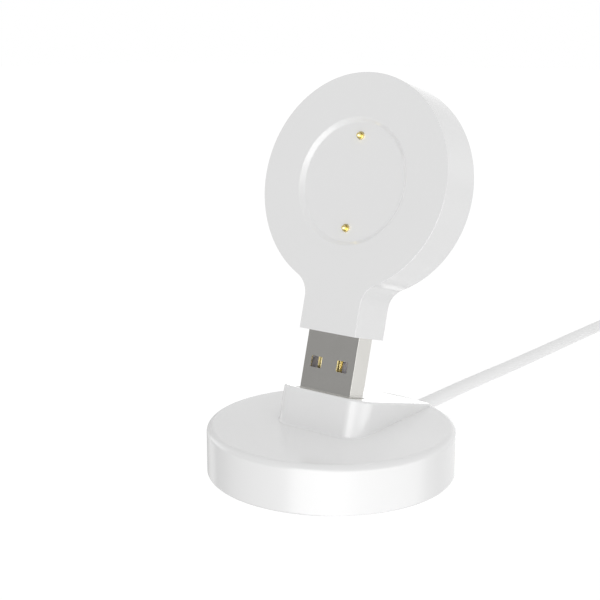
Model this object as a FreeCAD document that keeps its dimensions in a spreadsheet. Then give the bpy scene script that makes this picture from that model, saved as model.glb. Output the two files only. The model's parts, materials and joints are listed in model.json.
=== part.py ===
import FreeCAD, Part
import math
import os
import re

import Sketcher
from FreeCAD import Placement, Rotation, Vector

# Smartwatch charger: a round charging head with a plug that stands in a puck-shaped dock.
# Millimetres. The origin is the centre of the dock's underside, +Z is up, the head faces -Y
# and the dock's cable leaves towards +Y. The head leans back with the plug axis.

os.makedirs("parts", exist_ok=True)
doc = FreeCAD.newDocument("watch_charger")
sheet = doc.addObject("Spreadsheet::Sheet", "sizes")

# Driving sizes, in millimetres and degrees.
SIZES = {
    # The puck of the dock
    "dock_radius": 24.4,
    "dock_height": 9.8,
    "dock_wall": 1.8,
    "dock_roof": 1.8,
    "dock_top_bevel": 0.7,
    "shell_lift": 0.3,
    # The leaning housing of the socket
    "lean_angle": 15,
    "axis_place": -1.7,
    "housing_rise": 6.35,
    "housing_front": 4.3,
    "housing_half_front": 10.4,
    "housing_half_rear": 9.7,
    "housing_corner": 4.0,
    "housing_edge": 0.25,
    "housing_wall": 1.8,
    "housing_sink": 2.0,
    "hollow_margin": 8.0,
    "rim_land": 1.3,
    # The closing plate, its screws and the soft foot
    "cover_thick": 2.05,
    "bed_floor": 0.9,
    "bed_gap": 0.3,
    "fit_gap": 0.1,
    "overshoot": 1.0,
    "root": 0.2,
    "foot_gap": 0.3,
    "foot_thick": 0.8,
    "screw_margin": 6.7,
    "boss_radius": 2.5,
    "pilot_radius": 0.85,
    "pilot_depth": 4.0,
    "screw_head_radius": 1.8,
    "screw_head_thick": 1.1,
    "screw_reach": 3.5,
    "screw_floor": 2.1,
    "drive_radius": 0.9,
    "drive_depth": 0.6,
    # The plug of the head
    "plug_width": 12.0,
    "plug_thick": 4.5,
    "plug_wall": 0.3,
    "plug_corner": 0.5,
    "plug_out": 12.62,
    "plug_short": 1.28,
    "throat_lap": 1.72,
    "plug_inset": 1.0,
    "window_width": 2.5,
    "window_tall": 2.2,
    "window_place": 3.1,
    "window_rise": 6.5,
    "core_gap": 0.05,
    "core_start": 0.5,
    "core_lip": 0.4,
    "cavity_depth": 13.2,
    "contact_width": 1.0,
    "contact_thick": 0.2,
    "contact_proud": 0.12,
    "contact_near": 1.0,
    "contact_far": 3.5,
    "contact_start": 1.6,
    "contact_step": 1.0,
    "solder_lap": 1.1,
    "slot_gap": 0.02,
    # The paddle-shaped head
    "disc_radius": 21.2,
    "disc_rise": 42.0,
    "neck_half": 6.62,
    "neck_fillet": 4.5,
    "head_front": 4.73,
    "head_back": 5.16,
    "head_edge": 0.25,
    "head_wall": 1.5,
    "front_wall": 1.65,
    "lid_thick": 1.3,
    "lid_lap": 0.7,
    "tab_tall": 1.4,
    "tab_thick": 0.8,
    "tab_half": 1.5,
    "recess_radius": 12.45,
    "recess_slope": 0.85,
    "recess_depth": 0.75,
    # The sprung pins and what holds them
    "pin_place": 9.0,
    "barrel_radius": 0.75,
    "barrel_bore": 0.58,
    "barrel_mouth": 0.5,
    "barrel_lip": 0.35,
    "barrel_proud": 0.3,
    "barrel_floor": 0.3,
    "plunger_radius": 0.45,
    "plunger_shoulder": 0.53,
    "shoulder_long": 1.0,
    "plunger_proud": 0.9,
    "spring_wall": 0.14,
    "spring_gap": 0.03,
    "pin_gap": 0.05,
    "holder_half": 2.6,
    "holder_margin": 2.4,
    "holder_thick": 1.5,
    "magnet_wide": 6.0,
    "magnet_tall": 9.0,
    "magnet_thick": 2.0,
    "magnet_place": 7.2,
    # The circuit board of the head
    "board_half": 8.0,
    "board_thick": 1.0,
    "board_gap": 0.4,
    "board_margin": 5.7,
    # The socket of the dock
    "socket_gap_wide": 0.25,
    "socket_gap_thick": 0.31,
    "socket_wall": 0.3,
    "socket_below_mouth": 0.3,
    "socket_floor": 6.3,
    "block_thick": 1.0,
    "tongue_side_gap": 0.35,
    "tongue_front": 1.72,
    "tongue_back": 0.55,
    "tongue_rise": 5.0,
    "spring_contact_start": 4.0,
    "contact_sink": 0.1,
    "foot_run": 3.0,
    "foot_drop": 0.3,
    "dock_board_half": 8.0,
    "dock_board_front": 14.0,
    "dock_board_back": 4.6,
    # The cable and its gland
    "cable_radius": 1.5,
    "cable_rise": 4.9,
    "gland_sleeve": 2.1,
    "gland_seat": 0.3,
    # The coil of the cable's unseen length
    "coil_x": 18.1,
    "coil_y": 158,
    "coil_outer": 24.0,
    "coil_inner": 13.5,
    "coil_tall": 6.0,
    # The plug at the cable's far end
    "far_plug_y": 127,
    "far_plug_rise": 4.0,
    "far_body_width": 15.8,
    "far_body_thick": 8.0,
    "far_body_long": 20.0,
    "far_body_round": 1.6,
    "relief_long": 9.0,
    "relief_radius": 2.3,
}

for row, (alias, number) in enumerate(SIZES.items(), start=1):
    sheet.set(f"A{row}", alias)
    sheet.set(f"B{row}", str(number))
    sheet.setAlias(f"B{row}", alias)
doc.recompute()


def linked(formula):
    """The formula with each size written as a reference to its cell."""
    return re.sub(
        r"[a-z_]+",
        lambda word: "sizes." + word.group(0) if word.group(0) in SIZES else word.group(0),
        str(formula),
    )


def value(formula):
    """What the formula is worth with the present sizes."""
    return float(sheet.evalExpression(linked(formula)))


def bind(thing, **formulas):
    """Ties properties to formulas; a double underscore in a name stands for a dot."""
    for name, formula in formulas.items():
        thing.setExpression(name.replace("__", "."), linked(formula))


# Places: a leaning piece stands on the plug axis, its own Z along that axis and its own Y to the back.
LEAN_Y = "axis_place + sin(lean_angle * 1 deg) * ({along})"
LEAN_Z = "dock_height + cos(lean_angle * 1 deg) * ({along})"
PLUG_TIP = "housing_rise - plug_inset"


def stand_leaning(thing, along):
    """Stands a piece on the plug axis, that far above the dock's top."""
    thing.Placement = Placement(Vector(0, 0, 0), Rotation(Vector(-1, 0, 0), value("lean_angle")))
    bind(
        thing,
        Placement__Base__y=LEAN_Y.format(along=along),
        Placement__Base__z=LEAN_Z.format(along=along),
        Placement__Rotation__Angle="lean_angle * 1 deg",
    )


def stand_on_head(thing):
    """Stands a piece on the plug axis, its own origin at the plug's tip."""
    stand_leaning(thing, PLUG_TIP)


PIECES = []


def piece(thing, label):
    """Keeps a finished object as one of the charger's pieces."""
    thing.Label = label
    PIECES.append(thing)
    return thing


# Bodies made of sketches and features.
def new_body(label):
    return piece(doc.addObject("PartDesign::Body", label), label)


def new_sketch(body, role, offset="0", leaning=False):
    """A sketch on one of the body's own planes, raised along the plane's normal."""
    sketch = body.newObject("Sketcher::SketchObject", body.Label + "_sketch")
    plane = next(p for p in body.Origin.OriginFeatures if p.Role == role)
    sketch.AttachmentSupport = [(plane, "")]
    sketch.MapMode = "FlatFace"
    if leaning:
        turn = Rotation(Vector(-1, 0, 0), value("lean_angle"))
        sketch.AttachmentOffset = Placement(Vector(0, 0, 0), turn)
        bind(
            sketch,
            AttachmentOffset__Base__y=LEAN_Y.format(along=offset),
            AttachmentOffset__Base__z=LEAN_Z.format(along=offset),
            AttachmentOffset__Rotation__Angle="lean_angle * 1 deg",
        )
    else:
        bind(sketch, AttachmentOffset__Base__z=offset)
    return sketch


def fix(sketch, kind, *where, formula):
    """Adds a constraint whose size follows a formula."""
    index = sketch.addConstraint(Sketcher.Constraint(kind, *where, value(formula)))
    sketch.setExpression(f"Constraints[{index}]", linked(formula))


def polygon(sketch, corners):
    """A closed outline of straight lines, each corner placed by two formulas."""
    first = sketch.GeometryCount
    spots = [Vector(value(across), value(along), 0) for across, along in corners]
    count = len(spots)
    for i in range(count):
        sketch.addGeometry(Part.LineSegment(spots[i], spots[(i + 1) % count]))
    for i in range(count):
        following = first + (i + 1) % count
        sketch.addConstraint(Sketcher.Constraint("Coincident", first + i, 2, following, 1))
    for i, (across, along) in enumerate(corners):
        fix(sketch, "DistanceX", -1, 1, first + i, 1, formula=across)
        fix(sketch, "DistanceY", -1, 1, first + i, 1, formula=along)


def rectangle(sketch, left, right, low, high):
    polygon(sketch, [(left, low), (right, low), (right, high), (left, high)])


def circle(sketch, across, along, radius):
    spot = Vector(value(across), value(along), 0)
    index = sketch.addGeometry(Part.Circle(spot, Vector(0, 0, 1), value(radius)))
    fix(sketch, "DistanceX", -1, 1, index, 3, formula=across)
    fix(sketch, "DistanceY", -1, 1, index, 3, formula=along)
    fix(sketch, "Radius", index, formula=radius)


def feature(body, kind, sketch, length, reverse=False, middle=False):
    """A pad or pocket of a sketch; a pocket has to take something away."""
    before = body.Shape.Volume if body.Tip else 0
    made = body.newObject("PartDesign::" + kind, body.Label + "_" + kind.lower())
    made.Profile = sketch
    if middle:
        made.SideType = "Symmetric"
    made.Reversed = reverse
    bind(made, Length=length)
    doc.recompute()
    after = made.Shape.Volume
    if kind == "Pad" and after <= before or kind == "Pocket" and after >= before:
        raise RuntimeError(f"{made.Label} changes nothing")
    return made


def pad(body, sketch, length, **how):
    return feature(body, "Pad", sketch, length, **how)


def pocket(body, sketch, length, **how):
    return feature(body, "Pocket", sketch, length, **how)


def dress(body, kind, chosen, **sizes_of_it):
    """A round or a bevel on the edges of the body's shape that the test chooses."""
    base = body.Tip
    names = [f"Edge{i}" for i, edge in enumerate(base.Shape.Edges, start=1) if chosen(edge)]
    made = body.newObject("PartDesign::" + kind, body.Label + "_" + kind.lower())
    made.Base = (base, names)
    bind(made, **sizes_of_it)
    doc.recompute()
    return made


def round_edges(body, radius, chosen):
    return dress(body, "Fillet", chosen, Radius=radius)


def bevel_edges(body, size, chosen):
    return dress(body, "Chamfer", chosen, Size=size)


def span(edge):
    """An edge's lowest and highest corner, as a pair of vectors."""
    box = edge.BoundBox
    return Vector(box.XMin, box.YMin, box.ZMin), Vector(box.XMax, box.YMax, box.ZMax)


# How far apart two lengths may be and still count as one; a curved edge's box is less exact.
SAME = 1e-4
SAME_IN_BOX = 0.01


def near(a, b, slack=SAME):
    return abs(a - b) < slack


def along_axis(edge):
    """Whether a straight edge runs along Z."""
    low, high = span(edge)
    return near(low.x, high.x) and near(low.y, high.y)


def runs_back(edge):
    """Whether a straight edge runs along Y."""
    low, high = span(edge)
    return near(low.x, high.x) and near(low.z, high.z)


def leaning_place(spot):
    """A spot's place along and behind the plug axis, from the dock's own frame."""
    lean = math.radians(value("lean_angle"))
    along, deep = spot.z - value("dock_height"), spot.y - value("axis_place")
    return along * math.cos(lean) + deep * math.sin(lean), deep * math.cos(lean) - along * math.sin(lean)


def front_corner(edge):
    """Whether an edge is one of the housing's two front corners."""
    ends = [leaning_place(vertex.Point) for vertex in edge.Vertexes]
    rises, depths = zip(*ends)
    return all(near(depth, -value("housing_front")) for depth in depths) and not near(*rises)


def housing_rim(edge):
    """Whether an edge lies on the housing's top plane, apart from the one at the far back."""
    ends = [leaning_place(vertex.Point) for vertex in edge.Vertexes]
    rises, depths = zip(*ends)
    on_top = all(near(rise, value("housing_rise")) for rise in rises)
    return on_top and not all(near(depth, value(HOUSING_REACH)) for depth in depths)


def outer_circle(edge, rise):
    """Whether an edge is the puck's outer circle at that height."""
    low, high = span(edge)
    radius = value("dock_radius")
    level = near(low.z, rise) and near(high.z, rise)
    return level and near(high.x, radius, SAME_IN_BOX) and near(low.x, -radius, SAME_IN_BOX)


# Plain solids.
def box(name, left, right, front, back, low, high):
    """A box between six formulas."""
    made = doc.addObject("Part::Box", name)
    bind(
        made,
        Length=f"({right}) - ({left})",
        Width=f"({back}) - ({front})",
        Height=f"({high}) - ({low})",
        Placement__Base__x=left,
        Placement__Base__y=front,
        Placement__Base__z=low,
    )
    return made


def rod(name, radius, start, end, across="0", along="0", direction="Z"):
    """A cylinder from start to end along the named direction; across and along place its axis."""
    made = doc.addObject("Part::Cylinder", name)
    bind(made, Radius=radius, Height=f"({end}) - ({start})")
    if direction == "Y":
        made.Placement = Placement(Vector(0, 0, 0), Rotation(Vector(1, 0, 0), -90))
        bind(made, Placement__Base__x=across, Placement__Base__y=start, Placement__Base__z=along)
    else:
        bind(made, Placement__Base__x=across, Placement__Base__y=along, Placement__Base__z=start)
    return made


def join(name, parts):
    made = doc.addObject("Part::MultiFuse", name)
    made.Shapes = parts
    made.Refine = True
    return made


def cut(name, base, tools):
    made = doc.addObject("Part::Cut", name)
    made.Base = base
    made.Tool = tools[0] if len(tools) == 1 else join(name + "_tools", tools)
    made.Refine = True
    return made


# The paddle outline: a round disc, a neck below it and a hollow fillet on each side between them.
def paddle(sketch):
    radius, half, fillet = value("disc_radius"), value("neck_half"), value("neck_fillet")
    rise, low = value("disc_rise"), value("plug_out")
    up = Vector(0, 0, 1)
    drop = math.sqrt((radius + fillet) ** 2 - (half + fillet) ** 2)
    turn = math.atan2(drop, half + fillet)
    disc = Part.Circle(Vector(0, rise, 0), up, radius)
    right = Part.Circle(Vector(half + fillet, rise - drop, 0), up, fillet)
    left = Part.Circle(Vector(-half - fillet, rise - drop, 0), up, fillet)
    corner = Vector(half, rise - drop, 0)
    other = Vector(-half, rise - drop, 0)
    sketch.addGeometry(Part.ArcOfCircle(disc, -turn, math.pi + turn))
    sketch.addGeometry(Part.ArcOfCircle(right, math.pi - turn, math.pi))
    sketch.addGeometry(Part.LineSegment(corner, Vector(half, low, 0)))
    sketch.addGeometry(Part.LineSegment(Vector(half, low, 0), Vector(-half, low, 0)))
    sketch.addGeometry(Part.LineSegment(Vector(-half, low, 0), other))
    sketch.addGeometry(Part.ArcOfCircle(left, 0, turn))
    rules = [
        ("Tangent", 0, 1, 1, 1),
        ("Tangent", 1, 2, 2, 1),
        ("Coincident", 2, 2, 3, 1),
        ("Coincident", 3, 2, 4, 1),
        ("Tangent", 4, 2, 5, 1),
        ("Tangent", 5, 2, 0, 2),
        ("Vertical", 2),
        ("Vertical", 4),
        ("Horizontal", 3),
        ("PointOnObject", 0, 3, -2),
    ]
    for rule in rules:
        sketch.addConstraint(Sketcher.Constraint(*rule))
    fix(sketch, "DistanceY", -1, 1, 0, 3, formula="disc_rise")
    fix(sketch, "Radius", 0, formula="disc_radius")
    fix(sketch, "Radius", 1, formula="neck_fillet")
    fix(sketch, "Radius", 5, formula="neck_fillet")
    fix(sketch, "DistanceX", -1, 1, 3, 1, formula="neck_half")
    fix(sketch, "DistanceX", -1, 1, 3, 2, formula="-neck_half")
    fix(sketch, "DistanceY", -1, 1, 3, 1, formula="plug_out")


# Shared places of the dock.
SCREWS = {"left": "screw_margin - dock_radius", "right": "dock_radius - screw_margin"}
HOUSING_REACH = "(dock_radius - axis_place) / cos(lean_angle * 1 deg)"
COVER_RADIUS = "dock_radius - dock_wall - fit_gap"
FOOT_RADIUS = "dock_radius - dock_wall - foot_gap"
SOCKET_HALF_WIDE = "plug_width / 2 + socket_gap_wide + socket_wall"
SOCKET_HALF_THICK = "plug_thick / 2 + socket_gap_thick + socket_wall"
COVER_TOP = "foot_thick + cover_thick"
BED_FLOOR = "foot_thick + bed_floor"
SOCKET_HEEL = (
    "axis_place - (socket_floor + block_thick) * sin(lean_angle * 1 deg)"
    f" + ({SOCKET_HALF_THICK}) * cos(lean_angle * 1 deg)"
)
BOSS_FLOOR = f"{COVER_TOP} + core_gap"
# A broad ring round the puck, tall enough to trim all of the housing that stands past its wall.
TRIM_RADIUS = "dock_radius * 2"
TRIM_TALL = "dock_height * 4"

# Planes of the head, measured from the plug axis towards the back.
RECESS_FLOOR = "recess_depth - head_front"
FRONT_INSIDE = "front_wall - head_front"
LID_SEAT = "head_back - lid_thick"
CONTACT_FRONT = "-contact_proud"
CONTACT_BACK = "contact_thick - contact_proud"
BARREL_FRONT = f"{RECESS_FLOOR} - barrel_proud"
HOLLOW_RADIUS = "(disc_radius - head_wall)"
PLUG_END = f"disc_rise - {HOLLOW_RADIUS} - plug_short"
BOARD_HIGH = "disc_rise + disc_radius - board_margin"
BOARD_LOW = f"disc_rise - sqrt(({HOLLOW_RADIUS} - board_gap) ^ 2 - board_half ^ 2)"
PINS = {"upper": "disc_rise + pin_place", "lower": "disc_rise - pin_place"}
SIDES = {"left": "-1", "right": "1"}
CONTACT_PLACES = ["-contact_far", "-contact_near", "contact_near", "contact_far"]
SLOT_WIDTH = "contact_width + 2 * slot_gap"


def head_front_shell():
    """The moulded head: disc, neck and side wall in one, open at the back of the disc."""
    body = new_body("head_front_shell")
    outline = new_sketch(body, "XZ_Plane", "head_front")
    paddle(outline)
    pad(body, outline, "head_front + head_back", reverse=True)

    def on_front_rim(edge):
        low, high = span(edge)
        return near(low.y, high.y) and near(low.y, -value("head_front"))

    bevel_edges(body, "head_edge", on_front_rim)

    seat = new_sketch(body, "XZ_Plane", "-head_back")
    circle(seat, "0", "disc_rise", "disc_radius - lid_lap")
    pocket(body, seat, "lid_thick", reverse=True)
    hollow = new_sketch(body, "XZ_Plane", f"-({LID_SEAT})")
    circle(hollow, "0", "disc_rise", HOLLOW_RADIUS)
    pocket(body, hollow, f"({LID_SEAT}) - ({FRONT_INSIDE})", reverse=True)

    recess = body.newObject("PartDesign::SubtractiveCone", "watch_recess")
    recess.AttachmentSupport = [
        (next(p for p in body.Origin.OriginFeatures if p.Role == "XZ_Plane"), "")
    ]
    recess.MapMode = "FlatFace"
    bind(
        recess,
        Radius1="recess_radius - recess_slope",
        Radius2="recess_radius",
        Height="recess_depth",
        AttachmentOffset__Base__y="disc_rise",
        AttachmentOffset__Base__z=f"-({RECESS_FLOOR})",
    )
    doc.recompute()

    holes = new_sketch(body, "XZ_Plane", "head_front")
    for rise in PINS.values():
        circle(holes, "0", rise, "barrel_radius + pin_gap")
    pocket(body, holes, "front_wall + overshoot")

    throat = new_sketch(body, "XY_Plane", "plug_out")
    half_wide, half_thick = "plug_width / 2 + core_gap", "plug_thick / 2 + core_gap"
    rectangle(throat, f"-({half_wide})", half_wide, f"-({half_thick})", half_thick)
    pocket(body, throat, f"disc_rise - {HOLLOW_RADIUS} + throat_lap - plug_out", reverse=True)
    stand_on_head(body)


def head_rear_lid():
    """The flush round lid at the back of the disc, with four tabs that centre it."""
    body = new_body("head_rear_lid")
    plate = new_sketch(body, "XZ_Plane", "-head_back")
    circle(plate, "0", "disc_rise", "disc_radius - lid_lap - fit_gap")
    pad(body, plate, "lid_thick")
    tabs = new_sketch(body, "XZ_Plane", f"-({LID_SEAT})")
    outside = f"({HOLLOW_RADIUS} - 2 * fit_gap)"
    inside = f"({outside} - tab_thick)"
    rectangle(tabs, inside, outside, "disc_rise - tab_half", "disc_rise + tab_half")
    rectangle(tabs, f"-{outside}", f"-{inside}", "disc_rise - tab_half", "disc_rise + tab_half")
    rectangle(tabs, "-tab_half", "tab_half", f"disc_rise + {inside}", f"disc_rise + {outside}")
    rectangle(tabs, "-tab_half", "tab_half", f"disc_rise - {outside}", f"disc_rise - {inside}")
    pad(body, tabs, "tab_tall")
    stand_on_head(body)


def pin_holder():
    """The block behind the recess that keeps the two pins upright."""
    front, back = FRONT_INSIDE, f"({FRONT_INSIDE}) + holder_thick"
    block = box(
        "holder_block",
        "-holder_half",
        "holder_half",
        front,
        back,
        "disc_rise - pin_place - holder_margin",
        "disc_rise + pin_place + holder_margin",
    )
    bores = [
        rod(f"holder_bore_{name}", "barrel_radius + core_gap", f"{front} - overshoot",
            f"{back} + overshoot", "0", rise, "Y")
        for name, rise in PINS.items()
    ]
    stand_on_head(piece(cut("pin_holder", block, bores), "pin_holder"))


def pogo_pin(name, rise):
    """A barrel whose closed end is soldered to the board, its spring, and the stepped plunger."""
    bore_end = f"{CONTACT_BACK} - barrel_floor"
    lip_end = f"{BARREL_FRONT} + barrel_lip"
    tube = rod(f"barrel_wall_{name}", "barrel_radius", BARREL_FRONT, CONTACT_BACK, "0", rise, "Y")
    bore = rod(f"barrel_bore_{name}", "barrel_bore", lip_end, bore_end, "0", rise, "Y")
    mouth = rod(f"barrel_mouth_{name}", "barrel_mouth", f"{BARREL_FRONT} - overshoot",
                f"{lip_end} + root", "0", rise, "Y")
    barrel = cut(f"pogo_barrel_{name}", tube, [bore, mouth])
    stand_on_head(piece(barrel, f"pogo_barrel_{name}"))

    shaft = rod(f"plunger_shaft_{name}", "plunger_radius", f"{BARREL_FRONT} - plunger_proud",
                f"{lip_end} + root", "0", rise, "Y")
    shoulder_start = f"{lip_end} + slot_gap"
    shoulder = rod(f"plunger_shoulder_{name}", "plunger_shoulder", shoulder_start,
                   f"{shoulder_start} + shoulder_long", "0", rise, "Y")
    plunger = join(f"pogo_plunger_{name}", [shaft, shoulder])
    stand_on_head(piece(plunger, f"pogo_plunger_{name}"))

    spring_start = f"{shoulder_start} + shoulder_long + slot_gap"
    spring_end = f"{bore_end} - slot_gap"
    coil = rod(f"spring_coil_{name}", "barrel_bore - spring_gap", spring_start, spring_end,
               "0", rise, "Y")
    inside = rod(f"spring_inside_{name}", "barrel_bore - spring_gap - spring_wall",
                 f"{spring_start} - overshoot", f"{spring_end} + overshoot", "0", rise, "Y")
    spring = cut(f"pogo_spring_{name}", coil, [inside])
    stand_on_head(piece(spring, f"pogo_spring_{name}"))


def head_magnet(name, side):
    """One of the two magnets that hold the watch."""
    body = new_body(f"head_magnet_{name}")
    face = new_sketch(body, "XZ_Plane", f"-({FRONT_INSIDE})")
    rectangle(
        face,
        f"{side} * magnet_place - magnet_wide / 2",
        f"{side} * magnet_place + magnet_wide / 2",
        "disc_rise - magnet_tall / 2",
        "disc_rise + magnet_tall / 2",
    )
    pad(body, face, "magnet_thick", reverse=True)
    stand_on_head(body)


def head_circuit_board():
    """The board across the disc: the plug's contacts and the pins' barrels are soldered to it."""
    body = new_body("head_circuit_board")
    face = new_sketch(body, "XZ_Plane", f"-({CONTACT_BACK})")
    rectangle(face, "-board_half", "board_half", BOARD_LOW, BOARD_HIGH)
    pad(body, face, "board_thick", reverse=True)
    stand_on_head(body)


def plug_shell():
    """The pressed metal shell of the plug, with two windows on each broad side."""
    body = new_body("plug_shell")
    section = new_sketch(body, "XY_Plane")
    rectangle(section, "-plug_width / 2", "plug_width / 2", "-plug_thick / 2", "plug_thick / 2")
    pad(body, section, PLUG_END)
    round_edges(body, "plug_corner", along_axis)
    inside = new_sketch(body, "XY_Plane")
    rectangle(
        inside,
        "plug_wall - plug_width / 2",
        "plug_width / 2 - plug_wall",
        "plug_wall - plug_thick / 2",
        "plug_thick / 2 - plug_wall",
    )
    pocket(body, inside, PLUG_END, reverse=True)
    windows = new_sketch(body, "XZ_Plane", "plug_thick / 2 + overshoot")
    for side in SIDES.values():
        rectangle(
            windows,
            f"{side} * window_place - window_width / 2",
            f"{side} * window_place + window_width / 2",
            "window_rise - window_tall / 2",
            "window_rise + window_tall / 2",
        )
    pocket(body, windows, "plug_thick + 2 * overshoot")
    stand_on_head(body)


def slots(name, width, front, back, low, high, places):
    """Boxes that clear a way for contact strips."""
    return [
        box(f"{name}_{i}", f"{place} - ({width}) / 2", f"{place} + ({width}) / 2", front, back, low, high)
        for i, place in enumerate(places, start=1)
    ]


def plug_insulator():
    """The plastic core of the plug: a half-height tongue and a full block behind the cavity."""
    half = "(plug_width / 2 - plug_wall - core_gap)"
    back = "plug_thick / 2 - plug_wall - core_gap"
    end = f"{PLUG_END} + root"
    tongue = box("plug_tongue", f"-{half}", half, "0", back, "core_start", end)
    block = box("plug_block", f"-{half}", half, f"-({back})", back, "cavity_depth", end)
    ways = slots("plug_way", SLOT_WIDTH, f"{CONTACT_FRONT} - slot_gap", CONTACT_BACK,
                 "core_start + core_lip", f"{end} + overshoot", CONTACT_PLACES)
    core = cut("plug_insulator", join("plug_core", [tongue, block]), ways)
    stand_on_head(piece(core, "plug_insulator"))


def plug_contacts():
    """Four gold strips on the tongue; the outer two, for power, start nearer the tip."""
    for i, place in enumerate(CONTACT_PLACES, start=1):
        start = "contact_start" if "far" in place else "contact_start + contact_step"
        body = new_body(f"plug_contact_{i}")
        face = new_sketch(body, "XZ_Plane", f"-({CONTACT_FRONT})")
        end = f"{BOARD_LOW} + solder_lap"
        rectangle(face, f"{place} - contact_width / 2", f"{place} + contact_width / 2", start, end)
        pad(body, face, "contact_thick", reverse=True)
        stand_on_head(body)


def dock_shell():
    """The puck and the leaning housing of the socket, one moulding that is open below."""
    body = new_body("dock_shell")
    wedge = new_sketch(body, "XY_Plane", "housing_rise", leaning=True)
    polygon(
        wedge,
        [
            ("-housing_half_front", "-housing_front"),
            ("housing_half_front", "-housing_front"),
            ("housing_half_rear", HOUSING_REACH),
            ("-housing_half_rear", HOUSING_REACH),
        ],
    )
    pad(body, wedge, "housing_rise + housing_sink", reverse=True)
    round_edges(body, "housing_corner", front_corner)
    bevel_edges(body, "housing_edge", housing_rim)

    around = new_sketch(body, "XY_Plane")
    circle(around, "0", "0", "dock_radius - rim_land")
    circle(around, "0", "0", TRIM_RADIUS)
    pocket(body, around, TRIM_TALL, middle=True)

    puck = new_sketch(body, "XY_Plane", "shell_lift")
    circle(puck, "0", "0", "dock_radius")
    pad(body, puck, "dock_height - shell_lift")
    bevel_edges(body, "dock_top_bevel", lambda edge: outer_circle(edge, value("dock_height")))

    inside = new_sketch(body, "XY_Plane", "shell_lift")
    circle(inside, "0", "0", "dock_radius - dock_wall")
    pocket(body, inside, "dock_height - dock_roof - shell_lift", reverse=True)

    hollow = new_sketch(body, "XY_Plane", "housing_rise - housing_wall", leaning=True)
    front = f"-({SOCKET_HALF_THICK} + fit_gap)"
    rectangle(
        hollow,
        "housing_wall - housing_half_rear",
        "housing_half_rear - housing_wall",
        front,
        f"{HOUSING_REACH} - hollow_margin",
    )
    pocket(body, hollow, "housing_rise + housing_sink")

    mouth = new_sketch(body, "XY_Plane", "housing_rise + overshoot", leaning=True)
    wide, thick = f"({SOCKET_HALF_WIDE} + fit_gap)", f"({SOCKET_HALF_THICK} + fit_gap)"
    rectangle(mouth, f"-{wide}", wide, f"-{thick}", thick)
    pocket(body, mouth, "dock_height + housing_rise")

    bosses = new_sketch(body, "XY_Plane", BOSS_FLOOR)
    for across in SCREWS.values():
        circle(bosses, across, "0", "boss_radius")
    pad(body, bosses, f"dock_height - dock_roof - ({BOSS_FLOOR}) + root")
    pilots = new_sketch(body, "XY_Plane", BOSS_FLOOR)
    for across in SCREWS.values():
        circle(pilots, across, "0", "pilot_radius")
    pocket(body, pilots, "pilot_depth", reverse=True)

    way = new_sketch(body, "XZ_Plane", "-(dock_radius + overshoot)")
    circle(way, "0", "cable_rise", "gland_sleeve + core_gap")
    pocket(body, way, "dock_wall * 2 + overshoot", reverse=True)


def bottom_cover():
    """The plate that closes the puck: a bed for the board and the socket's foot, and sunk screw holes."""
    body = new_body("bottom_cover")
    plate = new_sketch(body, "XY_Plane", "foot_thick")
    circle(plate, "0", "0", COVER_RADIUS)
    pad(body, plate, "cover_thick")
    bed = new_sketch(body, "XY_Plane", BED_FLOOR)
    rectangle(bed, "-dock_board_half - fit_gap", "dock_board_half + fit_gap",
              "-dock_board_front - fit_gap", f"{SOCKET_HEEL} + bed_gap")
    pocket(body, bed, f"{COVER_TOP} - ({BED_FLOOR})", reverse=True)
    sinks = new_sketch(body, "XY_Plane", "foot_thick")
    for across in SCREWS.values():
        circle(sinks, across, "0", "screw_head_radius + fit_gap")
    pocket(body, sinks, "screw_floor - foot_thick", reverse=True)
    holes = new_sketch(body, "XY_Plane", "screw_floor")
    for across in SCREWS.values():
        circle(holes, across, "0", "pilot_radius + fit_gap")
    pocket(body, holes, COVER_TOP, reverse=True)


def soft_foot():
    """The round rubber pad that the dock stands on; it covers the screws."""
    piece(rod("anti_slip_pad", FOOT_RADIUS, "0", "foot_thick"), "anti_slip_pad")


DRIVE_SIDES = 6


def cover_screw(name, across):
    """A screw from the cover into a boss, with a six-sided recess for the driver."""
    head = rod(f"screw_head_{name}", "screw_head_radius", "screw_floor - screw_head_thick",
               "screw_floor", across)
    shank = rod(f"screw_shank_{name}", "pilot_radius - slot_gap",
                "screw_floor - screw_head_thick / 2", f"{BOSS_FLOOR} + screw_reach", across)
    drive = doc.addObject("Part::Prism", f"screw_drive_{name}")
    drive.Polygon = DRIVE_SIDES
    bind(
        drive,
        Circumradius="drive_radius",
        Height="screw_floor - screw_head_thick + drive_depth",
        Placement__Base__x=across,
    )
    screw = cut(f"cover_screw_{name}", join(f"screw_solid_{name}", [head, shank]), [drive])
    piece(screw, f"cover_screw_{name}")


def socket_shell():
    """The metal shell of the dock's socket."""
    body = new_body("socket_shell")
    low = "-(socket_floor + block_thick)"
    long = "socket_floor + block_thick + housing_rise - socket_below_mouth"
    section = new_sketch(body, "XY_Plane", low)
    wide, thick = f"({SOCKET_HALF_WIDE})", f"({SOCKET_HALF_THICK})"
    rectangle(section, f"-{wide}", wide, f"-{thick}", thick)
    pad(body, section, long)
    inside = new_sketch(body, "XY_Plane", low)
    wide, thick = f"({SOCKET_HALF_WIDE} - socket_wall)", f"({SOCKET_HALF_THICK} - socket_wall)"
    rectangle(inside, f"-{wide}", wide, f"-{thick}", thick)
    pocket(body, inside, long, reverse=True)
    stand_leaning(body, "0")


TONGUE_BACK = "-tongue_back"
STRIP_FRONT = "-tongue_back - contact_sink"


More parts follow.
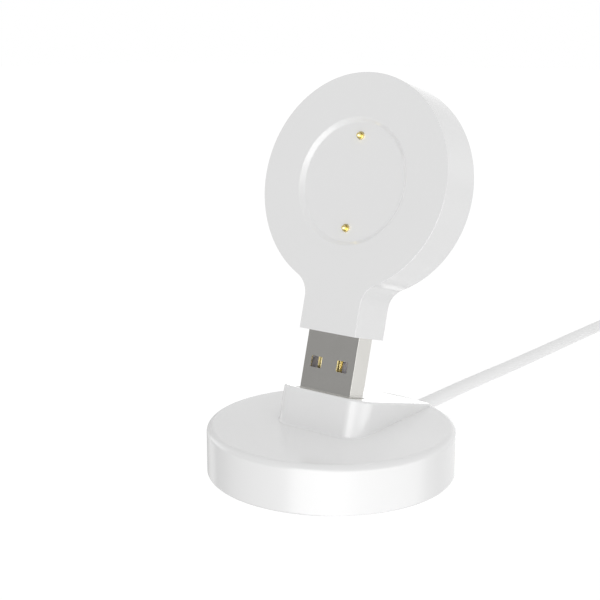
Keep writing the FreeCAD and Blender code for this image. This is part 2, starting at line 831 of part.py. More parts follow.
def socket_insulator():
    """The socket's plastic: a floor across the shell and the tongue that enters the plug."""
    wide = f"({SOCKET_HALF_WIDE} - socket_wall - core_gap)"
    thick = f"({SOCKET_HALF_THICK} - socket_wall - core_gap)"
    floor = box("socket_block", f"-{wide}", wide, f"-{thick}", thick, "-socket_floor - block_thick",
                "-socket_floor")
    half = "(plug_width / 2 - plug_wall - tongue_side_gap)"
    tongue = box("socket_tongue", f"-{half}", half, "-tongue_front", TONGUE_BACK,
                 "-socket_floor - root", "tongue_rise")
    ways = slots("socket_way", SLOT_WIDTH, f"{STRIP_FRONT} - slot_gap",
                 f"{STRIP_FRONT} + contact_thick + slot_gap", "-socket_floor - block_thick - overshoot",
                 "spring_contact_start + fit_gap", CONTACT_PLACES)
    made = cut("socket_insulator", join("socket_core", [floor, tongue]), ways)
    stand_leaning(piece(made, "socket_insulator"), "0")


def socket_contacts():
    """Four strips down the tongue, each bent forward to a foot that lies flat on the board."""
    lean = "lean_angle * 1 deg"
    bend = "-(socket_floor + block_thick + foot_drop)"
    back = f"{STRIP_FRONT} + contact_thick"
    run = f"foot_run * cos({lean})"
    dip = f"foot_run * sin({lean})"
    for i, place in enumerate(CONTACT_PLACES, start=1):
        body = new_body(f"socket_contact_{i}")
        side = new_sketch(body, "YZ_Plane", place)
        polygon(
            side,
            [
                (STRIP_FRONT, "spring_contact_start"),
                (back, "spring_contact_start"),
                (back, f"{bend} - contact_thick"),
                (f"{back} - ({run})", f"{bend} - contact_thick - {dip}"),
                (f"{back} - ({run}) - contact_thick * sin({lean})",
                 f"{bend} - contact_thick - {dip} + contact_thick * cos({lean})"),
                (STRIP_FRONT, f"{bend} - contact_thick * tan({lean})"),
            ],
        )
        pad(body, side, "contact_width", middle=True)
        stand_leaning(body, "0")


def dock_circuit_board():
    """The board under the socket, in its bed in the cover; the four feet are soldered to it."""
    lean = "lean_angle * 1 deg"
    bend = "(-(socket_floor + block_thick + foot_drop) - contact_thick)"
    top = f"dock_height + {bend} * cos({lean}) - ({STRIP_FRONT} + contact_thick) * sin({lean})"
    board = box("dock_circuit_board", "-dock_board_half", "dock_board_half", "-dock_board_front",
                "-dock_board_back", BED_FLOOR, top)
    piece(board, "dock_circuit_board")


def cable_gland():
    """The soft sleeve that lines the cable's hole in the dock's wall."""
    sleeve = rod("gland_sleeve_part", "gland_sleeve", "dock_radius - dock_wall + gland_seat",
                 "dock_radius - gland_seat", "0", "cable_rise", "Y")
    bore = rod("gland_bore", "cable_radius + core_gap", "0", "dock_radius + overshoot",
               "0", "cable_rise", "Y")
    piece(cut("cable_gland", sleeve, [bore]), "cable_gland")


# The cable's route, chosen by hand: out of the dock, down to the ground and along it to the coil.
CABLE_ROUTE = [
    (0, 16, 4.9),
    (0, 36, 4.9),
    (-3.9, 60, 2.8),
    (-5.6, 86, 1.5),
    (-5.9, 122, 1.5),
    (-5.9, 158, 1.5),
]
END_ROUTE = [
    (42.1, 156, 4.5),
    (42.1, 136, 4.0),
]
# How much of a straight run an arc may take, and how far the tube's volume may be off.
ARC_SHARE = 0.45
VOLUME_SLACK = 0.01


def tube(label, route):
    """A round tube along straight runs that tangent arcs join."""
    spots = [Vector(*spot) for spot in route]
    radius = value("cable_radius")
    edges = []
    here = spots[0]
    length = 0.0
    for before, corner, after in zip(spots, spots[1:], spots[2:]):
        arriving, leaving = (corner - before).normalize(), (after - corner).normalize()
        turn = arriving.getAngle(leaving)
        reach = ARC_SHARE * min((corner - before).Length, (after - corner).Length)
        start, end = corner - arriving * reach, corner + leaving * reach
        bend = reach / math.tan(turn / 2)
        inward = (leaving - arriving).normalize()
        middle = corner + inward * (bend / math.cos(turn / 2) - bend)
        edges.append(Part.LineSegment(here, start).toShape())
        edges.append(Part.Arc(start, middle, end).toShape())
        length += (start - here).Length + bend * turn
        here = end
        print(f"{label}: bend radius {bend:.1f} mm")
    edges.append(Part.LineSegment(here, spots[-1]).toShape())
    length += (spots[-1] - here).Length
    direction = spots[1] - spots[0]
    profile = Part.Wire(Part.Circle(spots[0], direction, radius).toShape())
    shape = Part.Wire(edges).makePipeShell([profile], True, False)
    expected = math.pi * radius**2 * length
    if abs(shape.Volume - expected) > VOLUME_SLACK * expected:
        raise RuntimeError(f"{label} has volume {shape.Volume:.1f}, not {expected:.1f}")
    print(f"{label}: {length:.1f} mm long")
    made = doc.addObject("Part::Feature", label)
    made.Shape = shape
    piece(made, label)


def cable_coil():
    """The outer shape of the coil that the unseen length is wound into."""
    outside = rod("coil_outside", "coil_outer + cable_radius", "0", "coil_tall", "coil_x", "coil_y")
    inside = rod("coil_inside", "coil_inner - cable_radius", "-overshoot", "coil_tall + overshoot",
                 "coil_x", "coil_y")
    piece(cut("cable_coil", outside, [inside]), "cable_coil")


FAR_X = "coil_x + coil_outer"


def far_plug():
    """The plug at the cable's other end, lying on the ground beside the coil."""
    body = new_body("far_plug_body")
    end = new_sketch(body, "XZ_Plane", "-far_plug_y")
    rectangle(
        end,
        f"{FAR_X} - far_body_width / 2",
        f"{FAR_X} + far_body_width / 2",
        "far_plug_rise - far_body_thick / 2",
        "far_plug_rise + far_body_thick / 2",
    )
    pad(body, end, "far_body_long")
    round_edges(body, "far_body_round", runs_back)

    relief = rod("far_strain_relief", "relief_radius", "far_plug_y", "far_plug_y + relief_long",
                 FAR_X, "far_plug_rise", "Y")
    piece(relief, "far_strain_relief")

    nose = "far_plug_y - far_body_long"
    wall = "plug_wall"
    outer = box("far_shell_outer", f"{FAR_X} - plug_width / 2", f"{FAR_X} + plug_width / 2",
                f"{nose} - plug_width", nose, "far_plug_rise - plug_thick / 2",
                "far_plug_rise + plug_thick / 2")
    inner = box("far_shell_inner", f"{FAR_X} - plug_width / 2 + {wall}",
                f"{FAR_X} + plug_width / 2 - {wall}", f"{nose} - plug_width - overshoot",
                f"{nose} + overshoot", f"far_plug_rise - plug_thick / 2 + {wall}",
                f"far_plug_rise + plug_thick / 2 - {wall}")
    openings = [
        box(f"far_window_{name}", f"{FAR_X} + {side} * window_place - window_width / 2",
            f"{FAR_X} + {side} * window_place + window_width / 2",
            f"{nose} - plug_width + window_rise - window_tall / 2",
            f"{nose} - plug_width + window_rise + window_tall / 2",
            "far_plug_rise - plug_thick", "far_plug_rise + plug_thick")
        for name, side in SIDES.items()
    ]
    piece(cut("far_plug_shell", outer, [inner] + openings), "far_plug_shell")

    half = "(plug_width / 2 - plug_wall - core_gap)"
    tongue = box("far_plug_insulator", f"{FAR_X} - {half}", f"{FAR_X} + {half}",
                 f"{nose} - plug_width + core_start", nose,
                 "far_plug_rise - plug_thick / 2 + plug_wall + core_gap", "far_plug_rise")
    piece(tongue, "far_plug_insulator")
    for i, place in enumerate(CONTACT_PLACES, start=1):
        start = "contact_start" if "far" in place else "contact_start + contact_step"
        strip = box(f"far_plug_contact_{i}", f"{FAR_X} + {place} - contact_width / 2",
                    f"{FAR_X} + {place} + contact_width / 2", f"{nose} - plug_width + {start}", nose,
                    "far_plug_rise", "far_plug_rise + contact_thick")
        piece(strip, f"far_plug_contact_{i}")


head_front_shell()
head_rear_lid()
pin_holder()
for pin, height in PINS.items():
    pogo_pin(pin, height)
for name, side in SIDES.items():
    head_magnet(name, side)
head_circuit_board()
plug_shell()
plug_insulator()
plug_contacts()
dock_shell()
bottom_cover()
soft_foot()
for name, place in SCREWS.items():
    cover_screw(name, place)
socket_shell()
socket_insulator()
socket_contacts()
dock_circuit_board()
cable_gland()
tube("cable", CABLE_ROUTE)
cable_coil()
tube("cable_end", END_ROUTE)
far_plug()
doc.recompute()

# Every object has to be sound before anything is written.
for thing in doc.Objects:
    if "Invalid" in thing.State or "Error" in thing.State:
        raise RuntimeError(f"{thing.Name} failed: {thing.State}")
for thing in PIECES:
    if thing.Shape.isNull() or not thing.Shape.isValid() or thing.Shape.Volume <= 0:
        raise RuntimeError(f"{thing.Label} has no sound shape")
for thing in PIECES:
    thing.Shape.exportStep(f"parts/{thing.Label}.step")
    print(f"{thing.Label}: {len(thing.Shape.Solids)} solid, {thing.Shape.Volume:.2f} mm3")
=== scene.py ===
import json
import math

import bmesh
import bpy
from mathutils import Matrix, Vector


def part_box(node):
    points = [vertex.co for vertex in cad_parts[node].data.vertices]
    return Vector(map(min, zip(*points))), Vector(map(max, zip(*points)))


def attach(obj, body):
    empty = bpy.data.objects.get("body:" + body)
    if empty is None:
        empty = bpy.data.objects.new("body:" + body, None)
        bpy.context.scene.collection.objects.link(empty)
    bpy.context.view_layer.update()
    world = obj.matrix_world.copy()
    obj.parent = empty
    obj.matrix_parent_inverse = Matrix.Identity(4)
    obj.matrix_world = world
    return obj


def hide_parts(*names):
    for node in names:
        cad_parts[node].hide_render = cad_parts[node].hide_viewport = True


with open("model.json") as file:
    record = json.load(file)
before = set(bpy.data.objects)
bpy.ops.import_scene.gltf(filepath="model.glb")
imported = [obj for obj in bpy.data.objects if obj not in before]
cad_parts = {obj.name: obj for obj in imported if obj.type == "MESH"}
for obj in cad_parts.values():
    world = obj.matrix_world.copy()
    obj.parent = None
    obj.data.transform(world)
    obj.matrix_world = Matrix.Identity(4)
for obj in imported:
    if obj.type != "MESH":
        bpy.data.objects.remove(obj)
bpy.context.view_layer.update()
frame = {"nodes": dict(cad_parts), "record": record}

# Smartwatch charger: a round charging head whose plug stands in the leaning socket of a
# puck-shaped dock. Metres. The head faces -Y and the cable leaves towards +Y.
MM = 0.001

# Points nearer than this are one point; lengths and radii below the next two count as none.
SAME_POINT = 1e-7
NO_LENGTH = 1e-8
NO_RADIUS = 1e-9

# Cutters reach this far past the faces that they cut.
PAST = 1.0 * MM

# Edges sharper than this stay crisp in the smooth shading.
CRISP = math.radians(28)

# Sides of a full turn: the dock, the head's disc, pins and sleeves, holes and grooves.
DOCK_STEPS = 256
DISC_STEPS = 192
SLEEVE_STEPS = 64
HOLE_STEPS = 48
GROOVE_STEPS = 32

# The plug axis: it rises from the middle of the dock's top and leans back.
LEAN = math.radians(15)
ACROSS = Vector((1, 0, 0))
ALONG = Vector((0, math.sin(LEAN), math.cos(LEAN)))
DEEP = Vector((0, math.cos(LEAN), -math.sin(LEAN)))
DOCK_TOP = 9.8 * MM
AXIS_PLACE = -1.7 * MM
PLUG_TIP_RISE = 5.35 * MM


def leaning_frame(rise):
    """The frame on the plug axis: X across, Y to the back and Z along the axis."""
    start = Vector((0, AXIS_PLACE, DOCK_TOP)) + ALONG * rise
    turned = Matrix((ACROSS, DEEP, ALONG)).transposed().to_4x4()
    return Matrix.Translation(start) @ turned


DOCK_AXIS = leaning_frame(0)
HEAD_AXIS = leaning_frame(PLUG_TIP_RISE)

# The dock.
DOCK_RADIUS = 24.4 * MM
DOCK_LIFT = 0.3 * MM
DOCK_WALL = 1.8 * MM
DOCK_TOP_ROUND = 1.2 * MM
DOCK_BOTTOM_ROUND = 0.5 * MM
RIM_LAND = 1.3 * MM
HOUSING_RISE = 6.35 * MM
HOUSING_SINK = 2.0 * MM
HOUSING_FRONT = 4.3 * MM
HOUSING_HALF_FRONT = 10.4 * MM
HOUSING_HALF_REAR = 9.7 * MM
HOUSING_CORNER = 4.0 * MM
HOUSING_EDGE = 0.4 * MM
FOOT_BELOW_TOP = 1.5 * HOUSING_EDGE
FOOT_FILLET = 0.35 * MM
FOOT_SUNK = 0.01 * MM
MOUTH_HALF_WIDE = 6.65 * MM
MOUTH_HALF_THICK = 2.96 * MM
MOUTH_EDGE = 0.2 * MM
MOUTH_CORNER = 0.6 * MM
PAD_RIM = 0.2 * MM
GLAND_RADIUS = 2.1 * MM
GLAND_LIP = 0.25 * MM
CABLE_RISE = 4.9 * MM

# The head.
DISC_RADIUS = 21.2 * MM
DISC_RISE = 42.0 * MM
NECK_HALF = 6.62 * MM
NECK_FILLET = 4.5 * MM
NECK_FOOT = 12.62 * MM
HEAD_FRONT = 4.73 * MM
HEAD_BACK = 5.16 * MM
HEAD_EDGE = 0.08 * MM
HEAD_WALL = 1.5 * MM
FRONT_WALL = 1.65 * MM
LID_LAP = 0.7 * MM
LID_THICK = 1.3 * MM
RECESS_RADIUS = 12.45 * MM
RECESS_SLOPE = 0.85 * MM
RECESS_DEPTH = 0.75 * MM
RECESS_EDGE = 0.55 * MM
PIN_PLACE = 9.0 * MM

# The sprung pins.
BARREL_RADIUS = 0.75 * MM
BARREL_BORE = 0.58 * MM
BARREL_MOUTH = 0.5 * MM
BARREL_PROUD = 0.3 * MM
BARREL_LIP = 0.35 * MM
BARREL_EDGE = 0.03 * MM
BARREL_FLOOR = 0.3 * MM
BARREL_END = 0.08 * MM
PIN_GAP = 0.05 * MM
PLUNGER_RADIUS = 0.45 * MM
PLUNGER_SHOULDER = 0.53 * MM
PLUNGER_PROUD = 0.9 * MM
SHOULDER_LONG = 1.0 * MM
SLOT_GAP = 0.02 * MM

# The plug.
PLUG_WIDTH = 12.0 * MM
PLUG_THICK = 4.5 * MM
PLUG_WALL = 0.3 * MM
PLUG_CORNER = 0.02 * MM
PLUG_END = 21.02 * MM
TIP_FOLD = 0.12 * MM
SEAM_HALF = 0.03 * MM
SEAM_DEEP = 0.12 * MM
BOARD_ROOM = 3.0 * MM
CORE_GAP = 0.05 * MM
WINDOW_WIDTH = 2.5 * MM
WINDOW_TALL = 2.2 * MM
WINDOW_PLACE = 3.1 * MM
WINDOW_RISE = 6.5 * MM
WINDOW_CORNER = 0.15 * MM
CONTACT_PLACES = (-3.5 * MM, -1.0 * MM, 1.0 * MM, 3.5 * MM)
CONTACT_HALF = 0.7 * MM
CONTACT_FRONT = 0.12 * MM
CONTACT_BACK = 0.08 * MM
CONTACT_CROWN = 0.1 * MM
CONTACT_EASE = 0.4 * MM
# Shares of the strip's front height at its sides, and of its half width where the crown starts and ends.
STRIP_SIDE = 0.4
CROWN_FOOT = 0.45
CROWN_TOP = 0.2

# The cable.
CABLE_RADIUS = 1.5 * MM
COIL_CENTRE = Vector((18.1, 158.0)) * MM
COIL_OUTER = 24.0 * MM
COIL_INNER = 13.5 * MM
COIL_TURNS = 3.5
TURN_POINTS = 16
LAYERS = (1.5 * MM, 4.5 * MM)

# The plug at the far end, lying on the ground.
FAR_X = 42.1 * MM
FAR_Y = 127 * MM
FAR_RISE = 4.0 * MM
FAR_WIDTH = 15.8 * MM
FAR_THICK = 8.0 * MM
FAR_LONG = 20.0 * MM
FAR_CORNER = 1.6 * MM
FAR_EDGE = 0.7 * MM
RELIEF_LONG = 9.0 * MM
RELIEF_RADIUS = 2.3 * MM
RELIEF_NARROW = 1.8 * MM
RELIEF_LIP = 0.1 * MM
RIB_COUNT = 4
RIB_PROUD = 0.35 * MM
RIB_SUNK = 0.07 * MM
# Shares of the ribs' pitch where a rib's top and its foot end, and of the grip's height for its grooves.
RIB_TOP = 0.62
RIB_FOOT = 0.72
GROOVE_COUNT = 5
GROOVE_PITCH = 2.2 * MM
GROOVE_RADIUS = 1.1 * MM
GROOVE_DEEP = 0.35 * MM
GROOVE_SHARE = 0.55


# Meshes.
def arc(centre, radius, start, end, steps):
    """Points on an arc of a flat outline, both ends included; angles in radians."""
    points = []
    for i in range(steps + 1):
        angle = start + (end - start) * i / steps
        points.append((centre[0] + radius * math.cos(angle), centre[1] + radius * math.sin(angle)))
    return points


def rectangle(half_wide, half_high):
    """The corners of a rectangle round the origin, counter-clockwise."""
    return [
        (-half_wide, -half_high),
        (half_wide, -half_high),
        (half_wide, half_high),
        (-half_wide, half_high),
    ]


def rounded_polygon(corners, radii, inset=0.0, steps=8):
    """A convex outline, counter-clockwise, with its corners rounded and its sides moved inwards."""
    count = len(corners)
    sides = []
    for i in range(count):
        a, b = Vector(corners[i]), Vector(corners[(i + 1) % count])
        along = (b - a).normalized()
        inward = Vector((-along.y, along.x))
        sides.append((a + inward * inset, along, inward))
    points = []
    for i in range(count):
        (a, along_a, in_a), (b, along_b, in_b) = sides[i - 1], sides[i]
        radius = max(radii[i] - inset, 0.0)
        turn = along_a.angle_signed(along_b)
        reach = (b - a).cross(along_b) / along_a.cross(along_b)
        corner = a + along_a * reach
        if radius < NO_RADIUS:
            points += [tuple(corner)] * (steps + 1)
            continue
        back = radius * math.tan(abs(turn) / 2)
        centre = corner - along_a * back + in_a * radius
        start = math.atan2(-in_a.y, -in_a.x)
        points += arc(centre, radius, start, start + abs(turn), steps)
    return points


def paddle(inset, fillet_steps=14):
    """The outline of the head: the disc, hollow fillets and the neck, counter-clockwise."""
    drop = math.sqrt((DISC_RADIUS + NECK_FILLET) ** 2 - (NECK_HALF + NECK_FILLET) ** 2)
    turn = math.atan2(drop, NECK_HALF + NECK_FILLET)
    disc = (0, DISC_RISE)
    right = (NECK_HALF + NECK_FILLET, DISC_RISE - drop)
    left = (-NECK_HALF - NECK_FILLET, DISC_RISE - drop)
    points = arc(disc, DISC_RADIUS - inset, -turn, math.pi + turn, DISC_STEPS)
    points += arc(left, NECK_FILLET + inset, turn, 0, fillet_steps)[1:]
    points.append((-NECK_HALF + inset, NECK_FOOT + inset))
    points.append((NECK_HALF - inset, NECK_FOOT + inset))
    points += arc(right, NECK_FILLET + inset, math.pi, math.pi - turn, fillet_steps)[:-1]
    return points


def edge_round(radius, steps=5):
    """Pairs of inset and setback for the rings of a rounded edge, from the face to the side."""
    pairs = []
    for i in range(steps + 1):
        angle = math.pi / 2 * i / steps
        pairs.append((radius * (1 - math.sin(angle)), radius * (1 - math.cos(angle))))
    return pairs


def loft(rings):
    """A closed solid through rings of equally many points, with flat ends."""
    mesh = bmesh.new()
    rows = [[mesh.verts.new(point) for point in ring] for ring in rings]
    count = len(rows[0])
    for low, high in zip(rows, rows[1:]):
        for i in range(count):
            j = (i + 1) % count
            mesh.faces.new((low[i], low[j], high[j], high[i]))
    mesh.faces.new(rows[0][::-1])
    mesh.faces.new(rows[-1])
    return tidy(mesh)


def lathe(profile, steps):
    """A solid of revolution about Z from pairs of radius and height; a closed profile makes a ring."""
    mesh = bmesh.new()
    rows = []
    for radius, height in profile:
        if radius < NO_RADIUS:
            rows.append([mesh.verts.new((0, 0, height))])
            continue
        ring = []
        for i in range(steps):
            angle = 2 * math.pi * i / steps
            ring.append(mesh.verts.new((radius * math.cos(angle), radius * math.sin(angle), height)))
        rows.append(ring)
    pairs = list(zip(rows, rows[1:]))
    if len(rows[0]) > 1 and len(rows[-1]) > 1:
        pairs.append((rows[-1], rows[0]))
    for low, high in pairs:
        for i in range(steps):
            j = (i + 1) % steps
            if len(low) == 1 and len(high) == 1:
                continue
            if len(low) == 1:
                mesh.faces.new((low[0], high[j], high[i]))
            elif len(high) == 1:
                mesh.faces.new((low[i], low[j], high[0]))
            else:
                mesh.faces.new((low[i], low[j], high[j], high[i]))
    return tidy(mesh)


def tidy(mesh):
    """Merges doubled points and turns all faces outwards."""
    bmesh.ops.remove_doubles(mesh, verts=mesh.verts, dist=SAME_POINT)
    bmesh.ops.dissolve_degenerate(mesh, edges=mesh.edges, dist=NO_LENGTH)
    bmesh.ops.recalc_face_normals(mesh, faces=mesh.faces)
    return mesh


def prism(outline, low, high):
    """A closed solid with the same outline at two heights."""
    return loft([[(x, y, z) for x, y in outline] for z in (low, high)])


def solid(name, mesh, place=Matrix()):
    """An object of a mesh, with its place in the mesh itself."""
    data = bpy.data.meshes.new(name)
    mesh.transform(place)
    mesh.to_mesh(data)
    mesh.free()
    thing = bpy.data.objects.new(name, data)
    bpy.context.scene.collection.objects.link(thing)
    return thing


def block(low, high, place=Matrix()):
    """A box between two corners, used to cut openings."""
    (x0, y0, z0), (x1, y1, z1) = low, high
    return solid("cutter", prism([(x0, y0), (x1, y0), (x1, y1), (x0, y1)], z0, z1), place)


def cylinder(radius, start, end, steps, place=Matrix()):
    """A round rod along Z, used to cut holes."""
    return solid("cutter", lathe([(0, start), (radius, start), (radius, end), (0, end)], steps), place)


def plain_mesh(thing):
    """What a thing is with its modifiers or its curve worked out, as a new mesh."""
    bpy.context.view_layer.update()
    return bpy.data.meshes.new_from_object(thing.evaluated_get(bpy.context.evaluated_depsgraph_get()))


def applied(thing, kind, **settings):
    """Runs one modifier on a thing and keeps its result as the plain mesh."""
    step = thing.modifiers.new("step", kind)
    for name, setting in settings.items():
        setattr(step, name, setting)
    return settled(thing)


def settled(thing):
    """Keeps what a thing's modifiers make as its plain mesh, and removes the modifiers."""
    made = plain_mesh(thing)
    thing.modifiers.clear()
    old = thing.data
    thing.data = made
    bpy.data.meshes.remove(old)
    return thing


def combine(thing, operation, tools):
    """Joins solids to a thing or cuts them out of it, for good."""
    for tool in tools:
        applied(thing, "BOOLEAN", operation=operation, solver="EXACT", object=tool)
        bpy.data.objects.remove(tool)
    return thing


def smooth(thing):
    """Smooth shading that leaves flat faces flat and sharp edges crisp."""
    mesh = bmesh.new()
    mesh.from_mesh(thing.data)
    bmesh.ops.remove_doubles(mesh, verts=mesh.verts, dist=SAME_POINT)
    # A cut can lose a small face and leave its diagonal: the gap is closed again.
    loose = [edge for edge in mesh.edges if not edge.link_faces]
    bmesh.ops.delete(mesh, geom=loose, context="EDGES")
    bmesh.ops.holes_fill(mesh, edges=mesh.edges, sides=0)
    for face in mesh.faces:
        face.smooth = True
    for edge in mesh.edges:
        edge.smooth = len(edge.link_faces) == 2 and edge.calc_face_angle(0) < CRISP
    mesh.to_mesh(thing.data)
    mesh.free()
    return applied(thing, "WEIGHTED_NORMAL", keep_sharp=True, weight=100)


def present(thing, name, body, slot, finish, *nodes):
    """Names a finished piece, gives it its material and says what it stands for and rides on."""
    thing.name = name
    thing.data.name = name
    thing.data.materials.clear()
    thing.data.materials.append(finish)
    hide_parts(*nodes)
    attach(thing, body)
    return thing


# Materials.
class Number:
    """A socket that adds Math nodes when it takes part in arithmetic."""

    def __init__(self, nodes, socket):
        self.nodes = nodes
        self.socket = socket

    def combined(self, operation, first, second):
        return self.nodes.node("ShaderNodeMath", {"operation": operation}, [first, second])

    def __add__(self, other):
        return self.combined("ADD", self, other)

    def __sub__(self, other):
        return self.combined("SUBTRACT", self, other)

    def __rsub__(self, other):
        return self.combined("SUBTRACT", other, self)

    def __mul__(self, other):
        return self.combined("MULTIPLY", self, other)

    def above_zero(self):
        return self.combined("MAXIMUM", self, 0.0)

    __radd__ = __add__
    __rmul__ = __mul__


class Nodes:
    """A node tree: of a material, of the world or of geometry nodes."""

    def __init__(self, tree):
        self.tree = tree
        self.tree.nodes.clear()

    def feed(self, socket, source):
        """Links a source to a socket, or writes a plain value on it."""
        if isinstance(source, Number):
            self.tree.links.new(source.socket, socket)
        else:
            socket.default_value = source

    def node(self, kind, settings=None, inputs=(), output=0):
        """A node with its settings, then its inputs by place or by name; gives one of its outputs."""
        made = self.tree.nodes.new(kind)
        for name, setting in (settings or {}).items():
            setattr(made, name, setting)
        pairs = inputs.items() if isinstance(inputs, dict) else enumerate(inputs)
        for key, source in pairs:
            self.feed(made.inputs[key], source)
        return Number(self, made.outputs[output])


class Finish(Nodes):
    """The node tree of a material or of the world."""

    def __init__(self, owner, output):
        owner.use_nodes = True
        super().__init__(owner.node_tree)
        self.output = self.tree.nodes.new(output)

    def ramp(self, factor, stops):
        """A colour ramp with stops of place and grey level."""
        made = self.tree.nodes.new("ShaderNodeValToRGB")
        points = made.color_ramp.elements
        while len(points) < len(stops):
            points.new(0.5)
        for point, (place, level) in zip(points, stops):
            point.position = place
            point.color = grey(level)
        self.feed(made.inputs[0], factor)
        return Number(self, made.outputs[0])

    def place(self, scale=(1, 1, 1), turn=(0, 0, 0)):
        """Object coordinates, turned and scaled."""
        spot = self.node("ShaderNodeTexCoord", output="Object")
        return self.node("ShaderNodeMapping", {}, {"Vector": spot, "Scale": scale, "Rotation": turn})

    def noise(self, spot, scale, detail=2.0):
        return self.node("ShaderNodeTexNoise", {}, {"Vector": spot, "Scale": scale, "Detail": detail})

    def mix(self, factor, first, second):
        """A colour between two colours."""
        made = self.tree.nodes.new("ShaderNodeMix")
        made.data_type = "RGBA"
        for key, source in (("Factor_Float", factor), ("A_Color", first), ("B_Color", second)):
            self.feed(next(s for s in made.inputs if s.identifier == key), source)
        return Number(self, next(s for s in made.outputs if s.identifier == "Result_Color"))

    def bump(self, height, strength, distance):
        inputs = {"Height": height, "Strength": strength, "Distance": distance}
        return self.node("ShaderNodeBump", {}, inputs)

    def send(self, shader):
        """Links a shader to the tree's output."""
        self.tree.links.new(shader.socket, self.output.inputs["Surface"])


def surface(name, build, **constants):
    """A material whose shader has these constants and what the build function links."""
    material = bpy.data.materials.new(name)
    finish = Finish(material, "ShaderNodeOutputMaterial")
    inputs = {key.replace("_", " "): constant for key, constant in constants.items()}
    inputs.update(build(finish))
    finish.send(finish.node("ShaderNodeBsdfPrincipled", {}, inputs))
    return material


def grey(level):
    """A neutral colour."""
    return (level, level, level, 1)


PLASTIC_WHITE = 0.865
JACKET_WHITE = 0.92


def moulded_white(finish):
    """Glossy white plastic: nearly even, with a trace of ripple from the mould."""
    spot = finish.place()
    cloud = finish.noise(spot, 60, 3)
    ripple = finish.noise(spot, 420, 2)
    grain = finish.noise(spot, 9000, 1)
    return {
        "Base Color": finish.mix(cloud, grey(PLASTIC_WHITE - 0.008), grey(PLASTIC_WHITE + 0.008)),
        "Roughness": 0.18 + 0.04 * cloud,
        "Normal": finish.bump(ripple * 0.8 + grain * 0.2, 0.04, 0.01 * MM),
    }


def cable_white(finish):
    """The cable's satin jacket, with faint drawn lines and matt flecks."""
    spot = finish.place()
    cloud = finish.noise(spot, 150, 3)
    grain = finish.noise(spot, 5200, 2)
    return {
        "Base Color": finish.mix(cloud, grey(JACKET_WHITE - 0.012), grey(JACKET_WHITE + 0.012)),
        "Roughness": 0.42 + 0.08 * grain,
        "Normal": finish.bump(grain, 0.08, 0.02 * MM),
    }


def drawn_nickel(scale, turn=(0, 0, 0)):
    """Nickel on sheet steel, with fine lines along the axis that has the smallest scale."""

    def build(finish):
        lines = finish.noise(finish.place(scale, turn), 1, 3)
        cloud = finish.noise(finish.place(), 260, 3)
        tone = lines * 0.6 + cloud * 0.4
        return {
            "Base Color": finish.mix(tone, (0.72, 0.705, 0.67, 1), (0.80, 0.79, 0.76, 1)),
            "Roughness": 0.13 + 0.08 * tone,
            "Normal": finish.bump(lines, 0.03, 0.01 * MM),
        }

    return build


def gold_plate(finish):
    """Thin gold over metal, a little uneven."""
    cloud = finish.noise(finish.place(), 1500, 3)
    return {
        "Base Color": finish.mix(cloud, (0.80, 0.66, 0.28, 1), (0.93, 0.80, 0.42, 1)),
        "Roughness": 0.22 + 0.10 * cloud,
        "Normal": finish.bump(cloud, 0.05, 0.01 * MM),
    }


def core_plastic(finish):
    """The pale violet grey plastic that carries the contacts of plug and socket."""
    cloud = finish.noise(finish.place(), 700, 3)
    grain = finish.noise(finish.place(), 6000, 1)
    return {
        "Base Color": finish.mix(cloud, (0.76, 0.725, 0.775, 1), (0.84, 0.805, 0.85, 1)),
        "Roughness": 0.40 + 0.10 * grain,
        "Normal": finish.bump(grain, 0.1, 0.02 * MM),
    }


def plated_magnet(finish):
    """A bright nickel skin with fine scuffs."""
    scuffs = finish.noise(finish.place((900, 900, 3600)), 1, 4)
    return {
        "Base Color": finish.mix(scuffs, (0.60, 0.60, 0.61, 1), (0.80, 0.80, 0.80, 1)),
        "Roughness": 0.18 + 0.2 * scuffs,
        "Normal": finish.bump(scuffs, 0.06, 0.01 * MM),
    }


def solder_mask(finish):
    """A green board: copper tracks show through as lighter bands."""
    spot = finish.place((700, 700, 420))
    inputs = {
        "Vector": spot,
        "Scale": 1.0,
        "Mortar Size": 0.08,
        "Color1": grey(0.0),
        "Color2": grey(0.15),
        "Mortar": grey(1.0),
    }
    tracks = finish.node("ShaderNodeTexBrick", {"offset": 0.5}, inputs)
    weave = finish.noise(finish.place(), 3200, 2)
    return {
        "Base Color": finish.mix(tracks, (0.012, 0.10, 0.035, 1), (0.035, 0.22, 0.07, 1)),
        "Roughness": 0.30 + 0.15 * weave,
        "Normal": finish.bump(tracks, 0.3, 0.03 * MM),
    }


def wound_wire(finish):
    """Steel wire wound close, turn beside turn, along the pin; the dark bands in its colour are painted
    shade in the creases between the turns.
    """
    settings = {"wave_type": "BANDS", "bands_direction": "Y"}
    inputs = {"Vector": finish.place(turn=(LEAN, 0, 0)), "Scale": 1400, "Distortion": 0.0}
    turns = finish.node("ShaderNodeTexWave", settings, inputs)
    return {
        # The colour's dark bands are painted shade between the turns; roughness and bump follow the same
        # turns.
        "Base Color": finish.mix(turns, (0.10, 0.10, 0.11, 1), (0.62, 0.62, 0.64, 1)),
        "Roughness": 0.25 + 0.2 * turns,
        "Normal": finish.bump(turns, 0.8, 0.05 * MM),
    }


def zinc_screw(finish):
    """Zinc on steel, slightly mottled."""
    mottle = finish.node("ShaderNodeTexVoronoi", {}, {"Vector": finish.place(), "Scale": 2600})
    return {
        "Base Color": finish.mix(mottle, (0.50, 0.51, 0.54, 1), (0.72, 0.72, 0.73, 1)),
        "Roughness": 0.28 + 0.2 * mottle,
        "Normal": finish.bump(mottle, 0.08, 0.01 * MM),
    }


def soft_silicone(finish):
    """The matt pale rubber of the foot."""
    grain = finish.noise(finish.place(), 2600, 3)
    cloud = finish.noise(finish.place(), 120, 2)
    return {
        "Base Color": finish.mix(cloud, grey(0.70), grey(0.76)),
        "Roughness": 0.62 + 0.12 * grain,
        "Normal": finish.bump(grain, 0.3, 0.04 * MM),
    }


